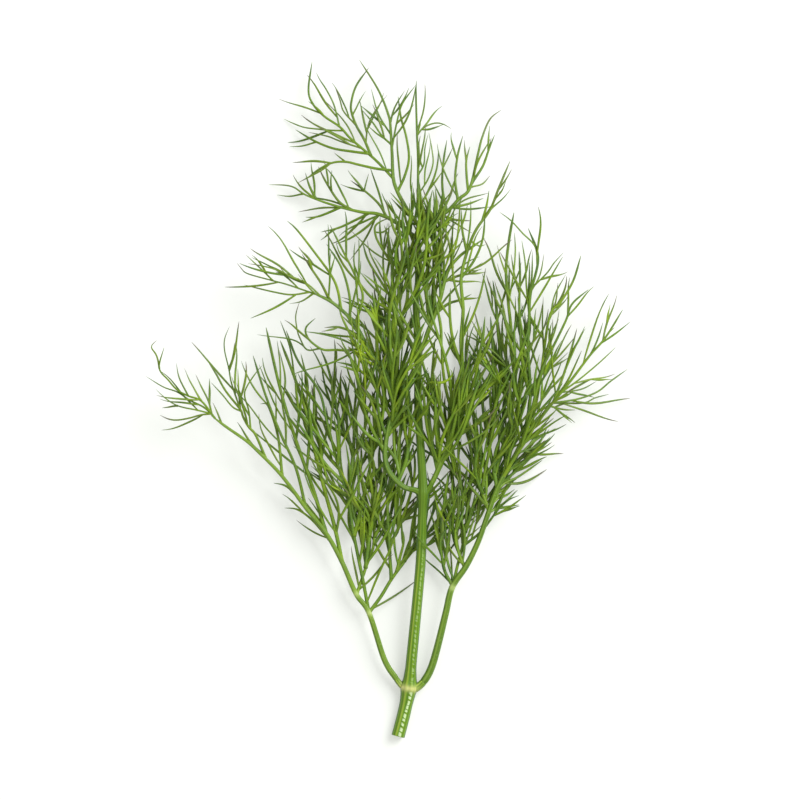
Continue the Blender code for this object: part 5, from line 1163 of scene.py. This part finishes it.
def tone_at(place, draw):
    """How far a branch's green leans from blue-green, 0, to yellow-green, 1."""
    # Higher threads lean lighter and yellower: painted light, with lower threads in painted shade
    tone = TONE_MIDDLE + TONE_PAINTED_LIGHT_RISE * (place[2] - TONE_HEIGHT) + draw.uniform(*TONE_SPREAD)
    for x, y, reach, lift in YELLOW_SPOTS:
        tone += lift * math.exp(-((place[0] - x) ** 2 + (place[1] - y) ** 2) / reach ** 2)
    return min(max(tone, 0.0), 1.0)


def paleness(line, joints):
    """How pale the plant is at each place of a line: pale beside its joints, green elsewhere."""
    pale = np.zeros(len(line))
    for x, y, strength in joints:
        away = np.linalg.norm(line[:, :2] - (x, y), axis=1)
        pale = np.maximum(pale, strength * np.exp(-(away / JOINT_REACH) ** 2))
    return pale


def draw_lone_thread(threads, line, width, tone):
    """A young or curled thread on top of its spray."""
    total = lengths_along(line)[-1]
    rings = max(RINGS_AT_LEAST, round(total / RING_STEP["leaflet"]) + RINGS_AT_LEAST)
    shares = np.linspace(0, 1, rings + 1)
    places = np.array([place_on(line, share) for share in shares])
    point = np.clip((1 - shares) * total / LONE_POINT, 0, 1) ** POINT_POWER
    widths = width * (LONE_SLIM + LONE_SWELL * np.sin(math.pi * shares)) * point
    tube = rings_round(places[:-1], widths[:-1], widths[:-1] * FLATNESS["leaflet"], PROFILES["leaflet"],
                       np.zeros(rings))
    marks = {"tone": np.full(rings + 1, tone), "along": shares * LONE_ALONG, "joint": np.zeros(rings + 1),
             "wither": np.zeros(rings + 1)}
    threads.add(tube, places[-1], shares * total, marks, [LEAF_FINISH] * (rings + 1))


def draw_young_leaflets(threads, branches):
    """Short yellow-green leaflets that rise from one shoot and bend over."""
    for x, y, length, heading in YOUNG_LEAFLETS:
        root = nearest_on(branches[:1], (x, y))[1]
        shares = np.linspace(0, 1, YOUNG_POINTS)[:, None]
        turn = math.radians(heading) + YOUNG_BEND * (shares - 0.5)
        steps = np.hstack([np.sin(turn), np.cos(turn), np.zeros_like(turn)]) * length / len(shares)
        line = root + np.cumsum(steps, axis=0) - steps[0]
        line[:, 2] = root[2] + YOUNG_RISE * np.sin(shares[:, 0] * math.pi * YOUNG_ARCH)
        draw_lone_thread(threads, line, YOUNG_WIDTH, YOUNG_TONE)


def draw_curls(threads, name, branches):
    """Threads that climb from the spray and curl over on top of it."""
    for spray, height, route in CURLS:
        if spray != name:
            continue
        root = nearest_on(branches, route[0])[1]
        plan = smooth([(*place, 0.0) for place in route], SAMPLE_STEP)
        rise = np.linspace(0, 1, len(plan)) ** CURL_CLIMB
        plan[:, 2] = root[2] + max(height - root[2], 0.0) * rise
        draw_lone_thread(threads, np.vstack([root[None, :], plan[1:]]), CURL_WIDTH, CURL_TONE)


def draw_spray(name, branches, materials, shift):
    """One spray as one mesh, standing for its solid."""
    settle(branches)
    threads = Threads()
    for index, branch in enumerate(branches):
        draw_branch(threads, branch, index, name)
    if name == YOUNG_SPRAY:
        draw_young_leaflets(threads, branches)
    draw_curls(threads, name, branches)
    piece = threads.piece(name + "_leaves", materials, shift)
    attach(piece, "root")
    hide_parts(name)
    return piece


# The stalk

def stalk_radii(heights):
    """The stalk's radius at each place along it, with the swellings of its joints softened."""
    places, sizes = zip(*STALK_RADII)
    fine = np.arange(places[0] - STALK_MARGIN, places[-1] + STALK_MARGIN, STALK_SOFT_STEP)
    soft = np.interp(fine, places, sizes)
    spread = np.exp(-(np.arange(-STALK_SOFT_REACH, STALK_SOFT_REACH + 1) / STALK_SOFTNESS) ** 2)
    soft = np.convolve(np.pad(soft, STALK_SOFT_REACH, mode="edge"), spread / spread.sum(), mode="valid")
    return np.interp(heights, fine, soft)


def upper_shade(heights):
    """How far the stalk has turned to its upper green, at places along it as y."""
    return np.clip((heights - UPPER_START) / UPPER_LENGTH, 0, 1)


def draw_stalk(stubs, materials, shift):
    """The ribbed stalk: its groove with a ladder of pale spots painted as glints, its joints, stubs and cut
    end.
    """
    line = resample(smooth(STALK_ROUTE, SAMPLE_STEP), STALK_RING_STEP)
    lengths = lengths_along(line)
    radii = stalk_radii(line[:, 1])
    left = lengths[-1] - lengths
    radii = radii * (STALK_END_SLIM + STALK_END_SWELL * np.clip(left / STALK_END_LENGTH, 0, 1) ** 0.5)
    profile = ribbed(STALK_SIDES, STALK_RIBS, STALK_RIB_DEPTH)
    rings = rings_round(line, radii, radii, profile, np.zeros(len(line)))
    threads = Threads()
    marks = {"tone": upper_shade(line[:, 1]), "along": np.interp(line[:, 1], *zip(*LADDER)),
             "joint": paleness(line, STALK_JOINTS), "wither": np.zeros(len(line))}
    threads.add(*cut_end(rings, line, lengths, marks))
    for name, stub in stubs.items():
        draw_stub(threads, stub, SHOOT_SLIMNESS[name][0])
    piece = threads.piece("stalk", materials, shift)
    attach(piece, "root")
    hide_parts("main_stem")
    return piece


def draw_stub(threads, stub, slimness):
    """The foot of a side shoot, clasping the stalk and running out inside the shoot."""
    line = resample(stub.line, FINE_STEP)
    lengths = lengths_along(line)
    left = lengths[-1] - lengths
    widths = stub.root_radius * (STUB_WIDTH + STUB_FLARE * np.exp(-(lengths / STUB_FLARE_LENGTH) ** 2))
    widths *= slimness * np.clip(left / STUB_END, 0, 1) ** 0.5
    rings = rings_round(line[:-1], widths[:-1], widths[:-1] * FLATNESS["shoot"], PROFILES["shoot"],
                        np.zeros(len(line)))
    joint = paleness(line[:1], STALK_JOINTS) * np.exp(-(lengths / STUB_PALE_LENGTH) ** 2)
    marks = {"tone": np.full(len(line), float(upper_shade(line[0][1]))), "along": np.zeros(len(line)),
             "joint": joint, "wither": np.zeros(len(line))}
    threads.add(rings, line[-1], lengths, marks, [SKIN_FINISH] * (len(rings) + 1))


def cut_end(rings, line, lengths, marks):
    """Closes the stalk's lower end: a rounded rim, the cut wall and a sunken soft core."""
    inward = (line[1] - line[0]) / np.linalg.norm(line[1] - line[0])
    wall = np.array(rings[0])
    middle = wall.mean(axis=0)
    added = [[*(middle + (wall - middle) * share + inward * depth)] for share, depth in CUT_RINGS]
    rings = added + rings[1:]
    extra = len(added) - 1
    lengths = np.concatenate([lengths[0] + np.array([depth for _, depth in CUT_RINGS]), lengths[1:]])
    marks = {name: np.concatenate([np.full(extra, values[0]), values]) for name, values in marks.items()}
    looks = [CUT_FINISH] * extra + [SKIN_FINISH] * (len(rings) - extra + 1)
    return rings, None, lengths, marks, looks


# Finishes

def add(tree, kind, inputs=None, **settings):
    """A node of a kind with its settings, and its inputs set to values or linked to sockets."""
    made = tree.nodes.new(kind)
    for name, value in settings.items():
        setattr(made, name, value)
    for socket, value in (inputs or {}).items():
        if isinstance(value, bpy.types.NodeSocket):
            tree.links.new(value, made.inputs[socket])
        else:
            made.inputs[socket].default_value = value
    return made


def calculate(tree, operation, *values):
    """The result of one sum on numbers or sockets."""
    return add(tree, "ShaderNodeMath", dict(enumerate(values)), operation=operation).outputs[0]


def plus(tree, first, second):
    return calculate(tree, "ADD", first, second)


def minus(tree, first, second):
    return calculate(tree, "SUBTRACT", first, second)


def times(tree, first, second):
    return calculate(tree, "MULTIPLY", first, second)


def remap(tree, value, low, high, new_low=0.0, new_high=1.0):
    """The value's range moved smoothly to a new one."""
    made = add(tree, "ShaderNodeMapRange", {"Value": value, "From Min": low, "From Max": high,
                                            "To Min": new_low, "To Max": new_high},
               interpolation_type="SMOOTHSTEP")
    return made.outputs["Result"]


def between(tree, share, low, high):
    """From the low number to the high one, as the share goes from nothing to one."""
    return remap(tree, share, 0.0, 1.0, low, high)


def blend(tree, share, first, second):
    """Two colours mixed by a share."""
    made = add(tree, "ShaderNodeMix", data_type="RGBA")
    for socket, value in ((made.inputs[0], share), (made.inputs[6], first), (made.inputs[7], second)):
        if isinstance(value, bpy.types.NodeSocket):
            tree.links.new(value, socket)
        else:
            socket.default_value = value if socket is made.inputs[0] else (*value, 1.0)
    return made.outputs[2]


def tinted(tree, colour, tint, mask, share):
    """The colour with a tint over it where the mask is, as strong as the share."""
    return blend(tree, times(tree, mask, share), colour, tint)


def ramp(tree, value, stops):
    """A colour read from a ramp of (place, colour) stops."""
    made = add(tree, "ShaderNodeValToRGB", {"Fac": value})
    elements = made.color_ramp.elements
    while len(elements) < len(stops):
        elements.new(0.5)
    for element, (place, colour) in zip(elements, stops):
        element.position = place
        element.color = (*colour, 1.0)
    return made.outputs["Color"]


def new_group(name, inputs, outputs):
    """An empty group of nodes with number inputs and outputs."""
    group = bpy.data.node_groups.new(name, "ShaderNodeTree")
    for socket in inputs:
        group.interface.new_socket(socket, in_out="INPUT", socket_type="NodeSocketFloat")
    for socket in outputs:
        group.interface.new_socket(socket, in_out="OUTPUT", socket_type="NodeSocketFloat")
    start = group.nodes.new("NodeGroupInput")
    end = group.nodes.new("NodeGroupOutput")
    return group, start.outputs, end.inputs


def make_fibres():
    """Streaks that run the length of a thread, different on every thread, and their fine bump."""
    group, given, wanted = new_group("Fibres", ("Round", "Length", "Thread", "Count", "Stretch"),
                                     ("Streak", "Height"))
    turn = times(group, given["Round"], 2 * math.pi)
    level = times(group, calculate(group, "COSINE", turn), given["Count"])
    upward = times(group, calculate(group, "SINE", turn), given["Count"])
    run = times(group, given["Length"], given["Stretch"])
    place = add(group, "ShaderNodeCombineXYZ", {"X": level, "Y": upward, "Z": run}).outputs[0]
    thread = times(group, given["Thread"], FIBRE_SEEDS)
    broad, fine = (add(group, "ShaderNodeTexNoise",
                       {"Vector": place, "W": thread, "Scale": fineness, "Detail": detail},
                       noise_dimensions="4D").outputs["Fac"]
                   for fineness, detail, _ in (BROAD_FIBRES, FINE_FIBRES))
    height = plus(group, times(group, broad, BROAD_FIBRES[2]), times(group, fine, FINE_FIBRES[2]))
    group.links.new(remap(group, broad, *FIBRE_EDGES), wanted["Streak"])
    group.links.new(height, wanted["Height"])
    return group


def make_skin():
    """The uneven green of living skin: broad patches, small cells and a few paler flecks."""
    group, given, wanted = new_group("Skin", ("Patch size", "Cell size"), ("Patches", "Cells", "Flecks"))
    place = add(group, "ShaderNodeTexCoord").outputs["Object"]
    patches = add(group, "ShaderNodeTexNoise",
                  {"Vector": place, "Scale": given["Patch size"], "Detail": PATCH_DETAIL})
    cells = add(group, "ShaderNodeTexVoronoi", {"Vector": place, "Scale": given["Cell size"]})
    chance = add(group, "ShaderNodeSeparateColor", {"Color": cells.outputs["Color"]}).outputs[0]
    group.links.new(remap(group, patches.outputs["Fac"], *PATCH_EDGES), wanted["Patches"])
    group.links.new(remap(group, cells.outputs["Distance"], *CELL_EDGES), wanted["Cells"])
    group.links.new(calculate(group, "GREATER_THAN", chance, FLECK_START), wanted["Flecks"])
    return group


def make_tip():
    """How far a thread has dried or darkened: nothing along most of it, most at its very tip."""
    group, given, wanted = new_group("Tip", ("Along", "Wither"), ("Dark", "Dry"))
    dry_start = minus(group, 1.0, times(group, given["Wither"], DRY_LENGTH))
    dry = times(group, remap(group, minus(group, given["Along"], dry_start), *DRY_EDGES),
                remap(group, given["Wither"], *DRY_WITHER))
    group.links.new(remap(group, given["Along"], *DARK_TIP), wanted["Dark"])
    group.links.new(dry, wanted["Dry"])
    return group


def mark(tree, name):
    return add(tree, "ShaderNodeAttribute", attribute_name=name).outputs["Fac"]


def place_fibres(tree, groups, position, length, thread, fibres):
    count, stretch = fibres
    return add(tree, "ShaderNodeGroup", {"Round": position, "Length": length, "Thread": thread,
                                         "Count": count, "Stretch": stretch},
               node_tree=groups["fibres"]).outputs


def place_skin(tree, groups, skin):
    patches, cells = skin
    return add(tree, "ShaderNodeGroup", {"Patch size": patches, "Cell size": cells},
               node_tree=groups["skin"]).outputs


def place_tip(tree, groups, wither):
    return add(tree, "ShaderNodeGroup", {"Along": mark(tree, "along"), "Wither": wither},
               node_tree=groups["tip"]).outputs


def new_material(name, body):
    """A material, its nodes and its shader, with what is the same all over set."""
    material = bpy.data.materials.new(name)
    material.use_nodes = True
    tree = material.node_tree
    shader = tree.nodes["Principled BSDF"]
    for socket, value in body.items():
        shader.inputs[socket].default_value = value
    return material, tree, shader


def read_grain(tree):
    """Where a point is round its thread, as a share of a turn, and along it."""
    grain = add(tree, "ShaderNodeUVMap", uv_map="grain").outputs[0]
    parts = add(tree, "ShaderNodeSeparateXYZ", {0: grain}).outputs
    return parts["X"], parts["Y"]


def set_surface(tree, shader, roughness, height, relief):
    """Links a finish's roughness and its fine relief."""
    depth, strength = relief
    bump = add(tree, "ShaderNodeBump", {"Height": height, "Distance": depth, "Strength": strength})
    tree.links.new(roughness, shader.inputs["Roughness"])
    tree.links.new(bump.outputs["Normal"], shader.inputs["Normal"])


def stripe(tree, position, centre, width):
    """One along a stripe, and nothing away from it."""
    away = calculate(tree, "ABSOLUTE", minus(tree, position, centre))
    return remap(tree, away, 0.0, width, 1.0, 0.0)


def thread_finish(name, look, groups):
    """A thread's material and its green: leaning with its tone, streaked, paler at forks, and paler along its
    top channel, partly its own colour and partly painted highlight.
    """
    material, tree, shader = new_material(name, look["body"])
    position, length = read_grain(tree)
    tone = mark(tree, "tone")
    fibres = place_fibres(tree, groups, position, length, tone, look["fibres"])
    skin = place_skin(tree, groups, look["skin"])
    leaning = plus(tree, tone, between(tree, skin["Patches"], -look["lean"], look["lean"]))
    green = ramp(tree, leaning, look["greens"])
    green = blend(tree, between(tree, fibres["Streak"], 0.0, look["streak_share"]), green, look["streak"])
    # The paler channel along the top is partly the channel's colour and partly painted highlight
    centre, width, strength = look["channel"]
    channel = stripe(tree, position, centre, width)
    green = tinted(tree, green, look["channel_and_highlight_green"], channel, strength)
    green = tinted(tree, green, LEAF_FLECK, skin["Flecks"], look["flecks"])
    green = tinted(tree, green, FORK_PALE, mark(tree, "joint"), look["forks"])
    roughness = between(tree, fibres["Streak"], *look["roughness"])
    height = plus(tree, fibres["Height"], times(tree, skin["Cells"], look["cells"]))
    set_surface(tree, shader, roughness, height, look["relief"])
    return material, tree, shader, green


def make_leaf_finish(groups):
    """Thread leaflets: blue-green to yellow-green, olive where they wither, dark or dry at their tips."""
    material, tree, shader, green = thread_finish("dill_leaf", LEAF_LOOK, groups)
    wither = mark(tree, "wither")
    tip = place_tip(tree, groups, wither)
    green = tinted(tree, green, LEAF_OLIVE, wither, LEAF_OLIVE_SHARE)
    green = tinted(tree, green, TIP_DARK, tip["Dark"], TIP_DARK_SHARE)
    green = tinted(tree, green, TIP_DRY, tip["Dry"], TIP_DRY_SHARE)
    tree.links.new(green, shader.inputs["Base Color"])
    return material


def make_shoot_finish(groups):
    """Shoots: fibrous green with a paler channel on top, and olive where they end as bare threads."""
    material, tree, shader, green = thread_finish("dill_shoot", SHOOT_LOOK, groups)
    olive = mark(tree, "wither")
    green = tinted(tree, green, SHOOT_TIP, place_tip(tree, groups, olive)["Dark"], olive)
    tree.links.new(green, shader.inputs["Base Color"])
    return material


def make_stalk_finish(groups):
    """The stalk: ridges and grooves, waxy sides lightened by painted sheen, one bright ridge and a ladder of
    pale spots painted as glints.
    """
    material, tree, shader = new_material("dill_stalk", STALK_BODY)
    position, length = read_grain(tree)
    shade = mark(tree, "tone")
    fibres = place_fibres(tree, groups, position, length, STALK_FIBRE_SEED, STALK_FIBRES)
    skin = place_skin(tree, groups, STALK_SKIN)
    turn = times(tree, minus(tree, position, STALK_TOP), 2 * math.pi * STALK_RIBS)
    ridge = remap(tree, calculate(tree, "COSINE", turn), *GROOVE_EDGES)
    green = blend(tree, ridge, STALK_GROOVE, STALK_RIDGE)
    green = tinted(tree, green, STALK_UPPER, shade, STALK_UPPER_SHARE)
    green = blend(tree, between(tree, fibres["Streak"], 0.0, STALK_STREAK_SHARE), green, STALK_STREAK)
    # Both sides take the bloom's blue-green: partly waxy bloom, partly painted sheen
    bloom_and_sheen = plus(tree, *(stripe(tree, position, centre, width) for centre, width in STALK_BLOOM_SHEEN_FLANKS))
    green = tinted(tree, green, STALK_BLOOM_AND_SHEEN, bloom_and_sheen, between(tree, skin["Patches"], *BLOOM_SHEEN_SHARES))
    bright = stripe(tree, position, *BRIGHT_RIDGE)
    green = tinted(tree, green, STALK_BRIGHT, bright, between(tree, shade, *BRIGHT_SHARES))
    # The ladder's pale colour is painted glints; its gloss and relief are real
    spots = ladder_glints(tree, position, length, mark(tree, "along"), skin)
    green = blend(tree, spots, green, LADDER_GLINT_PALE)
    patchy = between(tree, skin["Patches"], *JOINT_SHARES)
    green = tinted(tree, green, STALK_JOINT, mark(tree, "joint"), patchy)
    tree.links.new(green, shader.inputs["Base Color"])
    roughness = minus(tree, between(tree, fibres["Streak"], *STALK_ROUGHNESS), times(tree, spots, SPOT_GLOSS))
    height = plus(tree, fibres["Height"], times(tree, spots, SPOT_RELIEF))
    set_surface(tree, shader, roughness, height, STALK_RELIEF)
    return material


def ladder_glints(tree, position, length, strength, skin):
    """A row of small pale spots down the stalk's groove, painted glints on small glossy bumps, uneven in size
    and spacing.
    """
    uneven = add(tree, "ShaderNodeTexNoise",
                 {"W": length, "Scale": LADDER_FINENESS, "Detail": LADDER_DETAIL},
                 noise_dimensions="1D").outputs["Fac"]
    slanted = plus(tree, length, times(tree, position, LADDER_SLANT))
    shifted = plus(tree, slanted, times(tree, uneven, LADDER_SHIFT))
    part = calculate(tree, "FRACT", calculate(tree, "DIVIDE", shifted, LADDER_STEP))
    off_middle = calculate(tree, "ABSOLUTE", minus(tree, part, 0.5))
    rung = remap(tree, minus(tree, off_middle, times(tree, uneven, RUNG_SHARE)), *RUNG_EDGES, 1.0, 0.0)
    ragged = plus(tree, position, between(tree, skin["Patches"], -LADDER_RAGGED, LADDER_RAGGED))
    aside = calculate(tree, "ABSOLUTE", minus(tree, ragged, LADDER_PLACE))
    across = remap(tree, aside, *LADDER_EDGES, 1.0, 0.0)
    return times(tree, times(tree, rung, across), strength)


def make_cut_finish(groups):
    """The cut end: a moist, pale soft core inside a greener ring of wall."""
    material, tree, shader = new_material("dill_cut", CUT_BODY)
    skin = place_skin(tree, groups, CUT_SKIN)
    core = tinted(tree, ramp(tree, skin["Patches"], CUT_COLOURS), CUT_CELL, skin["Cells"], CUT_CELLS)
    tree.links.new(core, shader.inputs["Base Color"])
    set_surface(tree, shader, between(tree, skin["Cells"], *CUT_ROUGHNESS), skin["Cells"], CUT_RELIEF)
    return material


def make_floor_finish():
    """White card, very slightly uneven, faintly green as painted light bounced from the sprig, and glowing a
    little: painted light that lifts the shade on it.
    """
    material, tree, shader = new_material("white_card_with_painted_glow", FLOOR_BODY)
    place = add(tree, "ShaderNodeTexCoord").outputs["Object"]
    clouds = add(tree, "ShaderNodeTexNoise", {"Vector": place, **FLOOR_CLOUDS}).outputs["Fac"]
    tree.links.new(ramp(tree, clouds, FLOOR_GREENISH_WHITES), shader.inputs["Base Color"])
    return material


# Stage

def make_floor(finish):
    data = bpy.data.meshes.new("table_top")
    half = FLOOR_HALF
    data.from_pydata([(-half, -half, FLOOR_HEIGHT), (half, -half, FLOOR_HEIGHT), (half, half, FLOOR_HEIGHT),
                      (-half, half, FLOOR_HEIGHT)], [], [(0, 1, 2, 3)])
    data.materials.append(finish)
    floor = bpy.data.objects.new("table_top", data)
    bpy.context.scene.collection.objects.link(floor)


def make_light(name, place, size, power, aim):
    """A soft square light that faces the sprig."""
    data = bpy.data.lights.new(name, "AREA")
    data.size = size
    data.energy = power
    light = bpy.data.objects.new(name, data)
    light.location = place
    light.rotation_mode = "QUATERNION"
    light.rotation_quaternion = (Vector(aim) - Vector(place)).to_track_quat("-Z", "Y")
    bpy.context.scene.collection.objects.link(light)


def make_sky():
    world = bpy.data.worlds.new("studio")
    world.use_nodes = True
    world.node_tree.nodes["Background"].inputs["Color"].default_value = (1.0, 1.0, 1.0, 1.0)
    world.node_tree.nodes["Background"].inputs["Strength"].default_value = SKY_STRENGTH
    bpy.context.scene.world = world


def make_camera(shift):
    """Straight above the middle of the picture, far enough off that heights hardly shift."""
    data = bpy.data.cameras.new("camera")
    data.sensor_width = SENSOR
    data.lens = SENSOR * CAMERA_HEIGHT / PICTURE_WIDTH
    camera = bpy.data.objects.new("camera", data)
    camera.location = (shift[0], shift[1], CAMERA_HEIGHT + PICTURE_LEVEL)
    bpy.context.scene.collection.objects.link(camera)
    bpy.context.scene.camera = camera


def shift_to_frame(sprays):
    """What takes the sprig's own place, in metres, to the frame's: their outermost tips are the same."""
    spots = np.vstack([branch.points for branches in sprays.values() for branch in branches]) * MILLIMETRE
    low, high = cad_box
    return np.array([low.x - spots[:, 0].min(), high.y - spots[:, 1].max(), 0.0])


def main():
    space, sprays, stubs = grow_sprig()
    shift = shift_to_frame(sprays)
    grow_extras(space, sprays)
    groups = {"fibres": make_fibres(), "skin": make_skin(), "tip": make_tip()}
    leaf, shoot = make_leaf_finish(groups), make_shoot_finish(groups)
    stalk, cut = make_stalk_finish(groups), make_cut_finish(groups)
    for name, branches in sprays.items():
        draw_spray(name, branches, (leaf, shoot), shift)
    draw_stalk(stubs, (stalk, cut), shift)
    make_floor(make_floor_finish())
    make_sky()
    make_light("key", KEY_PLACE, KEY_SIZE, KEY_POWER, (shift[0], shift[1], 0))
    make_camera(shift)
    bpy.context.scene.view_settings.view_transform = "Standard"


main()
